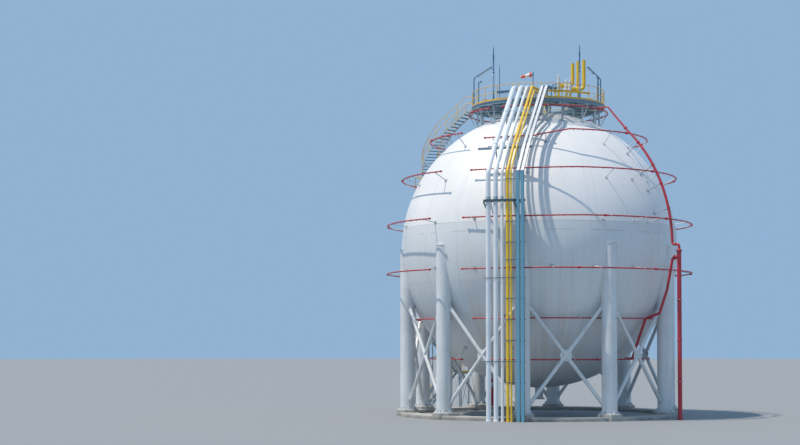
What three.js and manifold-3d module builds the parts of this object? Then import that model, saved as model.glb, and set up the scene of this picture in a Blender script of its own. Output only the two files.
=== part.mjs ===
// Spherical gas tank on ten tubular legs, with a spray ring system, a roof platform, a curved
// stair with a stair tower behind it, a bundle of pipes down the front and a relief manifold.
// Millimetres, +Z up. The origin is on the tank's axis at ground level and the front faces -Y.
// An azimuth is measured in degrees from the front (-Y), positive towards +X.

import * as THREE from 'three';
import { mergeVertices } from 'three/addons/utils/BufferGeometryUtils.js';
import Module from 'manifold-3d';

const wasm = await Module();
wasm.setup();

// Driving dimensions of the shell
const SHELL_RADIUS = 10000;
const WALL = 40;
const CENTRE_HEIGHT = 12000;
const SHELL_SECTORS = 40;
const SEAT_GAP = 0.3;
// Each ring of plates, from its lower seam's latitude to its upper one's, in so many steps
const SHELL_ZONES = [
  { name: 'shell_bottom_crown', low: -90, high: -36, steps: 6 },
  { name: 'shell_lower_belt', low: -36, high: -14, steps: 3 },
  { name: 'shell_equator_belt', low: -14, high: 8.6, steps: 3 },
  { name: 'shell_upper_belt', low: 8.6, high: 36, steps: 4 },
  { name: 'shell_top_crown', low: 36, high: 90, steps: 7 },
];
const SHELL_TURN = -6.6;

// Legs, bracing and foundation
const LEG_COUNT = 10;
const LEG_CIRCLE = 9640;
const LEG_RADIUS = 525;
const LEG_SIDES = 14;
const PEDESTAL_HEIGHT = 450;
const PEDESTAL_RADIUS = 860;
const PEDESTAL_SIDES = 8;
const RING_BEAM_HEIGHT = 250;
const RING_BEAM_INNER = 9000;
const RING_BEAM_OUTER = 10300;
const BASE_PLATE_RADIUS = 720;
const BASE_PLATE_THICK = 50;
const BRACE_RADIUS = 130;
const BRACE_CROSSING = 4400;
const BRACE_RISE = 3900;

// Spray rings: all of them lie on one sphere round the shell, apart from where they pass
// behind the pipe bundle
const RING_SPHERE = 11170;
const RING_PIPE = 50;
const RING_SIDES = 4;
const RING_STEP = 10;
const RING_START = -30;
const RING_END = 138;
const FAR_RING_START = -208;
const FAR_RING_END = -42;
const UPPER_RINGS = [
  { latitude: 63 },
  { latitude: 45, tuckedRadius: 7470, tuckedLevel: 7470 },
  { latitude: 27, tuckedRadius: 9250 },
  { latitude: 9, tuckedRadius: 10280 },
];
const LOWER_RINGS = [
  { latitude: -9, tuckedRadius: 10440, legRadius: 10650 },
  { latitude: -27, radius: 9000 },
  { latitude: -45 },
];
const TUCK_END = -3;
const TUCK_BLEND_END = 16;
const STRUT_PIPE = 35;
const RING_SUPPORTS = [40, 120];
const FAR_RING_SUPPORTS = [-50, -172];
const TUCK_LEG_START = -11;
const TUCK_LEG_END = -3.4;
const RISERS = {
  right: { azimuth: 55, distance: 11690 },
  left: { azimuth: -161, distance: 11450 },
};
const MAIN_RADIUS = 150;
const MAIN_TOP = -450;
const FLANGE_RADIUS = 210;
const FLANGE_THICK = 50;
const UPPER_RISER_PIPE = 80;
const LOWER_RISER_PIPE = 95;

// Platform
const DECK_RADIUS = 4870;
const DECK_HOLE = 2350;
const DECK_TOP = 22500;
const DECK_THICK = 60;
const DECK_SECTORS = 32;
const FRAME_BEAM = 200;
const RAIL_RADIUS = 4820;
const RAIL_HEIGHT = 1050;
const MID_RAIL_HEIGHT = 540;
const RAIL_PIPE = 24;
const OUTER_POSTS = 16;
const INNER_POSTS = 8;
const OUTER_POST_RADIUS = 4450;
const INNER_POST_RADIUS = 2600;
const POST_PIPE = 62;
const RADIAL_BEAM = 130;

// Curved stair from the platform, and the stair tower behind the shell
const STAIR_ROUTE = [
  [-5070, 1870, 22500],
  [-7090, 3210, 20770],
  [-8220, 5050, 19060],
  [-8450, 7565, 17200],
];
const STAIR_WIDTH = 1100;
const STAIR_SLAB = 120;
const STAIR_STUB = 1200;
const STAIR_CHORDS = 6;
const STRUT_CHORDS = [2, 4];
const STAIR_STEPS = 26;
const TREAD_DEPTH = 250;
const TREAD_THICK = 40;
const STRINGER_THICK = 30;
const STAIR_STRINGER = 190;
const TOWER_STRINGER = 225;
const STAIR_POST = 44;
const TOWER_AZIMUTH = -140.2;
const TOWER_INNER = 11210;
const TOWER_OUTER = 12550;
const TOWER_HALF_LENGTH = 2200;
const TOWER_LANDING = 850;
const TOWER_TOP = 17200;
const TOWER_STOREYS = 3;
const TOWER_POST = 90;
const TOWER_SLAB = 120;
const SLAB_EDGE = 70;
const LANE_CLEARANCE = 20;
const FLIGHT_LEAD = 60;
const STOREY_RISE = 5720;
const TOWER_STEPS = 13;

// Pipe bundle: parallel lines that run down in one slanting plane beside the axis
const BUNDLE_AZIMUTH = -17.1;
const BUNDLE_SIDE = 1050;
const BUNDLE_INNER = 1600;
const BUNDLE_ELBOW = 5140;
const BUNDLE_KINK = 9310;
const BUNDLE_OUTER = 10780;
const LEVEL_TOP = 23210;
const NARROW_TOP = 22860;
const LEVEL_KINK = 18670;
const LEVEL_BEND = 16700;
const PIPE_SIDES = 8;
const PIPES = [
  { name: 'pipe_white_left', offset: -1244, radius: 168, colour: 'white' },
  { name: 'pipe_white_middle', offset: -719, radius: 160, colour: 'white' },
  { name: 'pipe_white_right', offset: -269, radius: 105, colour: 'white' },
  { name: 'pipe_yellow_wide', offset: 103, radius: 100, colour: 'yellow' },
  { name: 'pipe_yellow_narrow', offset: 353, radius: 62, colour: 'yellow', top: NARROW_TOP },
];
const LADDERS = [
  { name: 'cable_ladder_left', offset: 845 },
  { name: 'cable_ladder_right', offset: 1155 },
];
const LADDER_WIDTH = 230;
const LADDER_DEPTH = 90;
const LADDER_END = 3850;
const LADDER_POST = 80;
const LADDER_POST_SHIFT = 120;
const FOOT_THICK = 40;
const FOOT_LIP = 40;
const PIPE_BEND = 3.2;
const NOZZLE_FOOT = 21500;

// What carries the bundle: beams under the sloping stretch, on legs, and a frame on the upright one
const SUPPORTS = { middle: 9300, upper: 7000 };
const SUPPORT_DROP = 230;
const SUPPORT_BEAM = 160;
const SUPPORT_ENDS = [-2450, 1450];
const SUPPORT_LEGS = [-1180, 370];
const SUPPORT_LEG_RADIUS = 60;
const SUPPORT_LEG_LEAN = 450;
const BRACKET_LEVEL = 14750;
const BRACKET_FRONT = 10985;
const BRACKET_BACK = 10540;
const BRACKET_ROOT = 9000;
const BRACKET_LEFT = -1510;
const BRACKET_RIGHT = 620;
const BRACKET_LAST = 1300;
const BRACKET_BEAM = [110, 150];
const BRACKET_MEMBER = [90, 130];
const BRACKET_BRACE = [80, 80];
const BRACKET_BRACE_DROP = 1500;

// Relief manifold: places in plan, heights over the ground
const HEADER_LEVEL = 22950;
const HEADER = { start: [1150, 950], end: [2560, -720], radius: 100 };
const HEADER_NECK = { place: [500, 600], foot: 21700, radius: 200 };
const HEADER_LINK = { end: [1900, 200], radius: 120 };
const HEADER_POSTS = [
  { place: [2560, -720], top: 22950, radius: 70 },
  { place: [2950, -459], top: 23740, radius: 60 },
];
const RELIEF_LINES = [
  { valve: [1510, 524], vent: [2545, 524], outlet: 24150, tip: 25040, top: 25790 },
  { valve: [2060, -128], vent: [2922, -128], outlet: 23780, tip: 24550, top: 25825 },
  { valve: [2340, -459], vent: [3340, -459], outlet: 23740, tip: 24570, top: 25850 },
];
const INLET_RADIUS = 85;
const VALVE_RADIUS = 165;
const VALVE_LOW = 150;
const VALVE_HIGH = 200;
const BONNET_RADIUS = 95;
const VENT_RADIUS = 125;
const VENT_BEND = 230;

// Masts, lamps and windsock
const MAST_TOP = 26380;
const MAST_TIP = 500;
const MAST_RADIUS = 60;
const MAST_TIP_RADIUS = 30;
const MAST_AZIMUTHS = { left: -43.5, right: 39.9 };
const LAMP_POSTS = {
  left: { azimuth: -88.8, distance: 4690, top: 24710, arm: [1310, 840], shares: [0.2, 0.97] },
  right: { azimuth: 80.3, distance: 4600, top: 24370, arm: [-910, 950], shares: [0.5, 0.98], stay: -190 },
};
const LAMP_POLE = 40;
const LAMP_STAY = 50;
const LAMP_BEND = 300;
const LAMP_DROP = 60;
const LAMP_WIDTH = 130;
const LAMP_DEPTH = 90;
const POST_DISTANCE = 4600;
const POLE_PLATE = 90;
const POLE_PLATE_THICK = 20;
const SOCK_POLE = [-360, 2750];
const SOCK_HEIGHT = 25390;
const SOCK_LENGTH = 840;
const SOCK_ARM = 108;
const SOCK_MOUTH = 190;
const SOCK_TAIL = 90;
const SOCK_TILT = 0.22;

const COLOURS = {
  white: [0xe9ecec, 0.45, 0],
  yellow: [0xe6b800, 0.45, 0],
  red: [0xb3202c, 0.45, 0],
  steel: [0x7f9aa6, 0.55, 0.2],
  dark: [0x34495a, 0.6, 0.2],
  blue: [0x5d93b3, 0.5, 0.3],
  galvanised: [0x9aa7ab, 0.6, 0.6],
  concrete: [0xb5b3ab, 0.95, 0],
  orange: [0xe0452c, 0.9, 0],
};

const group = new THREE.Group();

// Shapes

const radians = (degrees) => THREE.MathUtils.degToRad(degrees);

const point = (x, y, z) => new THREE.Vector3(x, y, z);

// The point at an azimuth, a distance from the axis and a height over the ground
function around(azimuth, distance, height) {
  const angle = radians(azimuth);
  return point(distance * Math.sin(angle), -distance * Math.cos(angle), height);
}

function signedVolume(position, index) {
  let sum = 0;
  const a = new THREE.Vector3();
  const b = new THREE.Vector3();
  const c = new THREE.Vector3();
  for (let i = 0; i < index.length; i += 3) {
    a.fromBufferAttribute(position, index[i]);
    b.fromBufferAttribute(position, index[i + 1]);
    c.fromBufferAttribute(position, index[i + 2]);
    sum += a.dot(b.cross(c));
  }
  return sum;
}

// A closed solid from a geometry: shared corners, no flat triangles, faces pointing out
function solid(geometry) {
  const bare = geometry.clone();
  bare.deleteAttribute('normal');
  bare.deleteAttribute('uv');
  const merged = mergeVertices(bare, 0.01);
  const position = merged.attributes.position;
  const corners = [];
  for (let i = 0; i < merged.index.count; i += 3) {
    const [a, b, c] = [0, 1, 2].map((k) => merged.index.getX(i + k));
    if (a !== b && b !== c && c !== a) {
      corners.push(a, b, c);
    }
  }
  if (signedVolume(position, corners) < 0) {
    corners.reverse();
  }
  return new wasm.Manifold(new wasm.Mesh({
    numProp: 3,
    vertProperties: Float32Array.from(position.array),
    triVerts: Uint32Array.from(corners),
  }));
}

function fuse(solids) {
  return solids.reduce((whole, next) => whole.add(next));
}

function addMesh(name, shape, colour, parent = group) {
  const mesh = shape.getMesh();
  const geometry = new THREE.BufferGeometry();
  geometry.setAttribute('position', new THREE.BufferAttribute(mesh.vertProperties, 3));
  geometry.setIndex(new THREE.BufferAttribute(mesh.triVerts, 1));
  const [color, roughness, metalness] = COLOURS[colour];
  const part = new THREE.Mesh(geometry, new THREE.MeshStandardMaterial({ color, roughness, metalness }));
  part.name = name;
  parent.add(part);
  return part;
}

function block(low, high) {
  const size = high.map((value, k) => value - low[k]);
  const middle = high.map((value, k) => (value + low[k]) / 2);
  return solid(new THREE.BoxGeometry(...size).translate(...middle));
}

// A round bar from one point to another
function bar(start, end, radius, sides = 6) {
  const direction = end.clone().sub(start);
  const geometry = new THREE.CylinderGeometry(radius, radius, direction.length(), sides);
  const turn = new THREE.Quaternion().setFromUnitVectors(point(0, 1, 0), direction.clone().normalize());
  const middle = start.clone().add(end).multiplyScalar(0.5);
  geometry.applyQuaternion(turn);
  geometry.translate(...middle.toArray());
  return solid(geometry);
}

// A rectangular beam from one point to another, with its depth in the vertical plane
function beam(start, end, width, depth) {
  const along = end.clone().sub(start);
  const length = along.length();
  along.normalize();
  const side = point(0, 0, 1).cross(along);
  if (side.lengthSq() < 1e-9) {
    side.set(1, 0, 0);
  }
  side.normalize();
  const up = along.clone().cross(side);
  const matrix = new THREE.Matrix4().makeBasis(side, along, up);
  matrix.setPosition(start.clone().add(end).multiplyScalar(0.5));
  return solid(new THREE.BoxGeometry(width, length, depth).applyMatrix4(matrix));
}

// A profile of [distance, height] pairs turned round the axis
function turned(profile, sectors, turn = 0) {
  const points = profile.map(([distance, height]) => new THREE.Vector2(distance, height));
  return solid(new THREE.LatheGeometry(points, sectors).rotateX(Math.PI / 2).rotateZ(radians(turn)));
}

// A curve through listed points that keeps each one as a section of the pipe
class Route extends THREE.Curve {
  constructor(points) {
    super();
    this.points = points;
  }

  getPoint(t, target = new THREE.Vector3()) {
    const place = t * (this.points.length - 1);
    const index = Math.min(Math.floor(place), this.points.length - 2);
    return target.lerpVectors(this.points[index], this.points[index + 1], place - index);
  }

  getUtoTmapping(u) {
    return u;
  }
}

function swept(points, section) {
  const shape = new THREE.Shape(section.map(([x, y]) => new THREE.Vector2(x, y)));
  return solid(new THREE.ExtrudeGeometry(shape, {
    steps: points.length - 1,
    extrudePath: new Route(points),
  }));
}

function polygon(radius, sides) {
  return Array.from({ length: sides }, (_, k) => {
    const angle = (k + 0.5) * 2 * Math.PI / sides;
    return [radius * Math.cos(angle), radius * Math.sin(angle)];
  });
}

// The corners of a route, each one rounded by a bend of the given radius
function rounded(corners, radius, steps = 3) {
  const points = [corners[0]];
  for (let i = 1; i < corners.length - 1; i += 1) {
    const before = corners[i - 1].clone().sub(corners[i]).normalize();
    const after = corners[i + 1].clone().sub(corners[i]).normalize();
    const reach = radius * Math.tan((Math.PI - before.angleTo(after)) / 2);
    const first = corners[i].clone().addScaledVector(before, reach);
    const last = corners[i].clone().addScaledVector(after, reach);
    const bend = new THREE.QuadraticBezierCurve3(first, corners[i], last);
    points.push(...bend.getPoints(steps));
  }
  points.push(corners[corners.length - 1]);
  return points;
}

// The shell's outer faces, moved out by a seat gap, to cut what stands on the shell
function shellProfile(radius, low, high, steps) {
  return Array.from({ length: steps + 1 }, (_, k) => {
    const latitude = radians(low + (high - low) * k / steps);
    const distance = Math.abs(Math.cos(latitude)) < 1e-9 ? 0 : radius * Math.cos(latitude);
    return [distance, CENTRE_HEIGHT + radius * Math.sin(latitude)];
  });
}

function shellCutter(turn) {
  const radius = SHELL_RADIUS + SEAT_GAP;
  const profile = SHELL_ZONES.flatMap(({ low, high, steps }, k) => {
    const points = shellProfile(radius, low, high, steps);
    return k === 0 ? points : points.slice(1);
  });
  return turned(profile, SHELL_SECTORS, turn);
}

const cutterInPlace = shellCutter(0);
const cutter = shellCutter(SHELL_TURN);

// Shell, legs, bracing and foundation share one turned group

const plant = new THREE.Group();
plant.rotation.z = radians(SHELL_TURN);
group.add(plant);

function shellZone({ low, high, steps }) {
  const trim = THREE.MathUtils.radToDeg(SEAT_GAP / 2 / SHELL_RADIUS);
  const from = low === -90 ? low : low + trim;
  const to = high === 90 ? high : high - trim;
  const inner = shellProfile(SHELL_RADIUS - WALL, from, to, steps);
  const outer = shellProfile(SHELL_RADIUS, from, to, steps);
  inner.reverse();
  if (high === 90) {
    return turned([...inner, ...outer], SHELL_SECTORS);
  }
  const end = low === -90 ? [] : [outer[0]];
  return turned([...outer, ...inner, ...end], SHELL_SECTORS);
}

function addShell() {
  SHELL_ZONES.forEach((zone) => addMesh(zone.name, shellZone(zone), 'white', plant));
}

// An upright column on the circle of the legs
function legColumn(azimuth, radius, bottom, top, sides = LEG_SIDES) {
  const geometry = new THREE.CylinderGeometry(radius, radius, top - bottom, sides);
  geometry.rotateX(Math.PI / 2);
  geometry.translate(0, -LEG_CIRCLE, (top + bottom) / 2);
  geometry.rotateZ(radians(azimuth));
  return solid(geometry);
}

function legShape() {
  const foot = PEDESTAL_HEIGHT + SEAT_GAP;
  const plate = legColumn(0, BASE_PLATE_RADIUS, foot, foot + BASE_PLATE_THICK, PEDESTAL_SIDES);
  return legColumn(0, LEG_RADIUS, foot, CENTRE_HEIGHT).add(plate).subtract(cutterInPlace);
}

// The crossed tubes between the leg at the front and its right-hand neighbour
function braceShape() {
  const step = 360 / LEG_COUNT;
  const ends = [0, step].map((azimuth) => [-1, 1].map((side) => (
    around(azimuth, LEG_CIRCLE, BRACE_CROSSING + side * BRACE_RISE))));
  const tubes = [bar(ends[0][0], ends[1][1], BRACE_RADIUS), bar(ends[0][1], ends[1][0], BRACE_RADIUS)];
  const clearance = LEG_RADIUS + SEAT_GAP / Math.cos(Math.PI / LEG_SIDES);
  return [0, step].reduce(
    (tube, azimuth) => tube.subtract(legColumn(azimuth, clearance, 0, CENTRE_HEIGHT)),
    fuse(tubes),
  );
}

function addLegs() {
  const leg = legShape();
  const brace = braceShape();
  for (let k = 0; k < LEG_COUNT; k += 1) {
    const number = String(k + 1).padStart(2, '0');
    const bay = new THREE.Group();
    bay.rotation.z = radians(k * 360 / LEG_COUNT);
    plant.add(bay);
    addMesh(`leg_${number}`, leg, 'white', bay);
    addMesh(`brace_${number}`, brace, 'white', bay);
  }
}

function addFoundation() {
  const profile = [
    [RING_BEAM_INNER, 0],
    [RING_BEAM_OUTER, 0],
    [RING_BEAM_OUTER, RING_BEAM_HEIGHT],
    [RING_BEAM_INNER, RING_BEAM_HEIGHT],
    [RING_BEAM_INNER, 0],
  ];
  const pedestals = Array.from({ length: LEG_COUNT }, (_, k) => (
    legColumn(k * 360 / LEG_COUNT, PEDESTAL_RADIUS, 0, PEDESTAL_HEIGHT, PEDESTAL_SIDES)));
  addMesh('foundation_ring', fuse([turned(profile, 2 * LEG_COUNT), ...pedestals]), 'concrete', plant);
}

// A short nozzle under the bottom crown, closed by a flange
function addBottomNozzle() {
  const top = CENTRE_HEIGHT - SHELL_RADIUS + 60;
  const profile = [[0, 1150], [420, 1150], [420, 1230], [300, 1230], [300, top], [0, top]];
  addMesh('bottom_nozzle', turned(profile, 12).subtract(cutterInPlace), 'white', plant);
}

// Spray system

function ringPoint(ring, azimuth, radius = null) {
  const latitude = radians(ring.latitude);
  const distance = radius ?? ring.radius ?? RING_SPHERE * Math.cos(latitude);
  const level = radius !== null && ring.tuckedLevel ? ring.tuckedLevel : RING_SPHERE * Math.sin(latitude);
  return around(azimuth, distance, CENTRE_HEIGHT + level);
}

// The stretch of a ring that passes behind the pipe bundle, nearer the shell
function tuckedPoints(ring) {
  if (!ring.tuckedRadius) {
    return [ringPoint(ring, RING_START), ringPoint(ring, -20), ringPoint(ring, -10)];
  }
  if (ring.legRadius) {
    return [
      ringPoint(ring, RING_START, ring.tuckedRadius),
      ringPoint(ring, -20, ring.tuckedRadius),
      ringPoint(ring, -15, ring.tuckedRadius),
      ringPoint(ring, TUCK_LEG_START, ring.legRadius),
      ringPoint(ring, TUCK_LEG_END, ring.legRadius),
    ];
  }
  return [RING_START, -20, -12, TUCK_END].map((azimuth) => ringPoint(ring, azimuth, ring.tuckedRadius));
}

// A point on the way from the tucked stretch back out to the ring's own circle
function blendedPoint(ring, azimuth) {
  const full = ringPoint(ring, azimuth);
  if (!ring.tuckedRadius || ring.legRadius || azimuth >= TUCK_BLEND_END) {
    return full;
  }
  const share = (azimuth - TUCK_END) / (TUCK_BLEND_END - TUCK_END);
  return ringPoint(ring, azimuth, ring.tuckedRadius).lerp(full, share);
}

function frontRing(ring) {
  const points = tuckedPoints(ring);
  for (let azimuth = 0; azimuth < RING_END; azimuth += RING_STEP) {
    points.push(blendedPoint(ring, azimuth));
  }
  points.push(ringPoint(ring, RING_END));
  return swept(points, polygon(RING_PIPE, RING_SIDES));
}

function farRing(ring) {
  const points = [ringPoint(ring, FAR_RING_START)];
  for (let azimuth = -200; azimuth < FAR_RING_END; azimuth += RING_STEP) {
    points.push(ringPoint(ring, azimuth));
  }
  points.push(ringPoint(ring, FAR_RING_END));
  return swept(points, polygon(RING_PIPE, RING_SIDES));
}

function meridian(azimuth, fromLatitude, toLatitude, steps) {
  return Array.from({ length: steps + 1 }, (_, k) => {
    const latitude = fromLatitude + (toLatitude - fromLatitude) * k / steps;
    return ringPoint({ latitude }, azimuth);
  });
}

// An upright cylinder on the axis of a riser's main
function mainStretch({ azimuth, distance }, low, high, radius) {
  return bar(around(azimuth, distance, low), around(azimuth, distance, high), radius, 8);
}

// From the top ring down to the flange on the vertical main
function upperRiser(riser) {
  const { azimuth, distance } = riser;
  const flangeFoot = CENTRE_HEIGHT + MAIN_TOP + SEAT_GAP;
  const points = [
    ringPoint(UPPER_RINGS[0], azimuth),
    around(azimuth, 6000, CENTRE_HEIGHT + RING_SPHERE * Math.sin(radians(63)) + 30),
    ...meridian(azimuth, 45, 2, 5),
    around(azimuth, RING_SPHERE + (distance - RING_SPHERE) * 0.4, CENTRE_HEIGHT + 120),
    around(azimuth, RING_SPHERE + (distance - RING_SPHERE) * 0.85, CENTRE_HEIGHT + 60),
    around(azimuth, distance, CENTRE_HEIGHT - 100),
    around(azimuth, distance, flangeFoot),
  ];
  const flange = mainStretch(riser, flangeFoot, flangeFoot + FLANGE_THICK, FLANGE_RADIUS);
  return fuse([swept(points, polygon(UPPER_RISER_PIPE, 6)), flange]);
}

// The vertical main, and the branch that feeds the rings under the equator
function lowerRiser(riser) {
  const { azimuth, distance } = riser;
  const top = CENTRE_HEIGHT + MAIN_TOP;
  const branch = swept([
    around(azimuth, distance, CENTRE_HEIGHT - 900),
    around(azimuth, RING_SPHERE + 60, CENTRE_HEIGHT - 900),
    ...meridian(azimuth, -7, -25, 2),
    ...LOWER_RINGS.slice(1).map((ring) => ringPoint(ring, azimuth)),
  ], polygon(LOWER_RISER_PIPE, 6));
  return fuse([
    mainStretch(riser, 0, top, MAIN_RADIUS),
    mainStretch(riser, top - FLANGE_THICK, top, FLANGE_RADIUS),
    mainStretch(riser, 0, FLANGE_THICK, MAIN_RADIUS + 90),
    branch,
  ]);
}

// Struts that hold a ring off the shell, square to the shell
function ringStruts(ring, azimuths) {
  const shellward = (SHELL_RADIUS - WALL) / RING_SPHERE;
  return azimuths.map((azimuth) => {
    const outer = ringPoint(ring, azimuth);
    const rise = (outer.z - CENTRE_HEIGHT) * shellward;
    const distance = Math.sqrt((SHELL_RADIUS - WALL) ** 2 - rise ** 2);
    return bar(outer, around(azimuth, distance, CENTRE_HEIGHT + rise), STRUT_PIPE, 4);
  });
}

function addSpraySystem() {
  const struts = (rings, azimuths) => rings.flatMap((ring) => ringStruts(ring, azimuths));
  const add = (name, parts) => addMesh(name, fuse(parts).subtract(cutter), 'red');
  const right = [RING_SUPPORTS, RISERS.right];
  const left = [FAR_RING_SUPPORTS, RISERS.left];
  const halves = [['right', frontRing, ...right], ['left', farRing, ...left]];
  halves.forEach(([side, ringShape, azimuths, riser]) => {
    const upper = [...UPPER_RINGS.map(ringShape), ...struts(UPPER_RINGS, azimuths), upperRiser(riser)];
    const lower = [...LOWER_RINGS.map(ringShape), ...struts(LOWER_RINGS, azimuths), lowerRiser(riser)];
    add(`spray_upper_${side}`, upper);
    add(`spray_lower_${side}`, lower);
  });
}

// Platform

function ringBeam(radius, width, low, high, sectors = OUTER_POSTS) {
  return turned([
    [radius - width / 2, low],
    [radius + width / 2, low],
    [radius + width / 2, high],
    [radius - width / 2, high],
    [radius - width / 2, low],
  ], sectors);
}

function addPlatformDeck() {
  const low = DECK_TOP - DECK_THICK;
  const middle = (DECK_RADIUS + DECK_HOLE) / 2;
  const width = DECK_RADIUS - DECK_HOLE;
  addMesh('platform_deck', ringBeam(middle, width, low, DECK_TOP, DECK_SECTORS), 'galvanised');
}

// Ring and radial beams under the deck, on posts that stand on the shell
function addPlatformFrame() {
  const high = DECK_TOP - DECK_THICK - SEAT_GAP;
  const low = high - FRAME_BEAM;
  const parts = [
    ringBeam(DECK_RADIUS - 60, 100, low, high),
    ringBeam(INNER_POST_RADIUS, 100, low, high),
  ];
  for (let k = 0; k < OUTER_POSTS; k += 1) {
    const azimuth = k * 360 / OUTER_POSTS;
    const from = around(azimuth, INNER_POST_RADIUS, high - FRAME_BEAM / 2);
    const to = around(azimuth, DECK_RADIUS - 60, high - FRAME_BEAM / 2);
    parts.push(beam(from, to, RADIAL_BEAM, FRAME_BEAM - 40));
    const head = around(azimuth, OUTER_POST_RADIUS, high - 60);
    parts.push(bar(around(azimuth, OUTER_POST_RADIUS, 20400), head, POST_PIPE));
  }
  for (let k = 0; k < INNER_POSTS; k += 1) {
    const azimuth = k * 360 / INNER_POSTS;
    const head = around(azimuth, INNER_POST_RADIUS, high - 60);
    parts.push(bar(around(azimuth, INNER_POST_RADIUS, 21300), head, POST_PIPE));
  }
  addMesh('platform_frame', fuse(parts).subtract(cutter), 'steel');
}

function spread(from, to, count) {
  return Array.from({ length: count }, (_, k) => from + (to - from) * k / (count - 1));
}

// A stretch of guard rail with a post at every azimuth in the list. Where pipes pass, the mid
// rail stops short of them.
function railing(azimuths, midStretches) {
  const at = (height) => (azimuth) => around(azimuth, RAIL_RADIUS, DECK_TOP + height);
  const parts = [swept(azimuths.map(at(RAIL_HEIGHT)), polygon(RAIL_PIPE, 4))];
  midStretches.forEach(([first, last]) => {
    const stretch = azimuths.slice(first, last + 1);
    parts.push(swept(stretch.map(at(MID_RAIL_HEIGHT)), polygon(RAIL_PIPE * 0.8, 4)));
  });
  azimuths.forEach((azimuth) => {
    parts.push(bar(at(SEAT_GAP)(azimuth), at(RAIL_HEIGHT)(azimuth), RAIL_PIPE + 2, 4));
  });
  return fuse(parts);
}

function addRailings() {
  const front = [...spread(-96, -22, 6), -15.6, -5.1, 3, 18.9, 35.4, 48.4, 61, 73, 84];
  addMesh('railing_front', railing(front, [[0, 5], [8, 14]]), 'yellow');
  addMesh('railing_back', railing(spread(85, 239, 12), [[0, 11]]), 'yellow');
}

// Stairs

const UP = point(0, 0, 1);

// Treads between two stringers along a list of stringer points, fused to one solid
function flight(route, steps, width, depth) {
  const stringers = [-1, 1].flatMap((side) => route.slice(1).map((end, k) => {
    const start = route[k];
    const across = end.clone().sub(start).cross(UP).setLength(side * width / 2);
    const overlap = end.clone().sub(start).setLength(STRINGER_THICK / 2);
    const drop = point(0, 0, -TREAD_THICK / 2);
    const from = start.clone().add(across).add(drop).sub(k > 0 ? overlap : point(0, 0, 0));
    const to = end.clone().add(across).add(drop).add(k < route.length - 2 ? overlap : point(0, 0, 0));
    return beam(from, to, STRINGER_THICK, depth);
  }));
  const line = new Route(route);
  const total = route[0].z - route[route.length - 1].z;
  const treads = [];
  for (let k = 1; k < steps; k += 1) {
    const height = route[0].z - total * k / steps;
    const index = route.findIndex((corner, i) => i > 0 && corner.z <= height + 1e-6) - 1;
    const share = (route[index].z - height) / (route[index].z - route[index + 1].z);
    const place = line.getPoint((index + share) / (route.length - 1));
    const along = route[index + 1].clone().sub(route[index]).setZ(0).normalize();
    const half = along.clone().multiplyScalar(TREAD_DEPTH / 2);
    place.z -= TREAD_THICK / 2;
    treads.push(beam(place.clone().sub(half), place.clone().add(half), width, TREAD_THICK));
  }
  return fuse([...stringers, ...treads]);
}

// The stair's centre line: a smooth curve cut into a few straight chords
function stairRoute() {
  const curve = new THREE.CatmullRomCurve3(STAIR_ROUTE.map((place) => point(...place)));
  return curve.getSpacedPoints(STAIR_CHORDS);
}

// A stair rail: square posts beside the middle of each chord, a handrail and a mid rail
function stairRail(route, side) {
  const reach = (STAIR_WIDTH + STRINGER_THICK + STAIR_POST) / 2 + SEAT_GAP;
  const parts = [];
  const posts = route.slice(1).map((end, k) => {
    const start = route[k];
    const across = end.clone().sub(start).cross(UP).setLength(side * reach);
    const middle = start.clone().add(end).multiplyScalar(0.5).add(across);
    const height = RAIL_HEIGHT + STAIR_STRINGER / 2;
    const post = new THREE.BoxGeometry(STAIR_POST, STAIR_POST, height);
    post.rotateZ(Math.atan2(end.y - start.y, end.x - start.x));
    post.translate(middle.x, middle.y, middle.z + RAIL_HEIGHT - height / 2);
    parts.push(solid(post));
    return middle;
  });
  const lifted = (height) => posts.map((place) => place.clone().setZ(place.z + height));
  parts.push(swept(lifted(RAIL_HEIGHT - 10), polygon(RAIL_PIPE, 4)));
  parts.push(swept(lifted(MID_RAIL_HEIGHT), polygon(RAIL_PIPE * 0.8, 4)));
  return fuse(parts);
}

// Pairs of struts from the two stringers down to the shell
function stairStruts(route) {
  return STRUT_CHORDS.flatMap((k) => [-1, 1].map((side) => {
    const across = route[k + 1].clone().sub(route[k]).cross(UP).setLength(side * STAIR_WIDTH / 2);
    const head = route[k].clone().add(across);
    const inward = head.clone().setZ(head.z - CENTRE_HEIGHT).setLength(SHELL_RADIUS - WALL);
    return bar(head, inward.setZ(inward.z + CENTRE_HEIGHT), STRUT_PIPE, 4);
  }));
}

// The level stretch from the deck to the route, which ends as the first tread
function stairStub(start) {
  const ahead = start.clone().setZ(0).normalize();
  const middle = start.clone().setZ(start.z - STAIR_SLAB / 2);
  const from = middle.clone().addScaledVector(ahead, -STAIR_STUB);
  const to = middle.clone().addScaledVector(ahead, TREAD_DEPTH / 2);
  return beam(from, to, STAIR_WIDTH + STRINGER_THICK, STAIR_SLAB);
}

function addUpperStair() {
  const route = stairRoute();
  const rim = route[0].clone().setZ(0).setLength(DECK_RADIUS).setZ(DECK_TOP);
  const walk = [rim, ...route];
  const landing = towerSlab(TOWER_INNER - SEAT_GAP, TOWER_OUTER, -4000, 4000, 0, DECK_TOP);
  const deckSpace = DECK_RADIUS + SEAT_GAP;
  const deck = turned([[0, 0], [deckSpace, 0], [deckSpace, MAST_TOP], [0, MAST_TOP]], DECK_SECTORS);
  const treadwork = fuse([
    stairStub(route[0]),
    flight(route, STAIR_STEPS, STAIR_WIDTH, STAIR_STRINGER),
    ...stairStruts(route),
  ]);
  const stair = treadwork.subtract(landing).subtract(deck).subtract(cutter);
  addMesh('stair_upper_flight', stair, 'steel');
  addMesh('stair_upper_rail_front', stairRail(walk, 1), 'yellow');
  addMesh('stair_upper_rail_back', stairRail(walk, -1), 'yellow');
}

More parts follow.
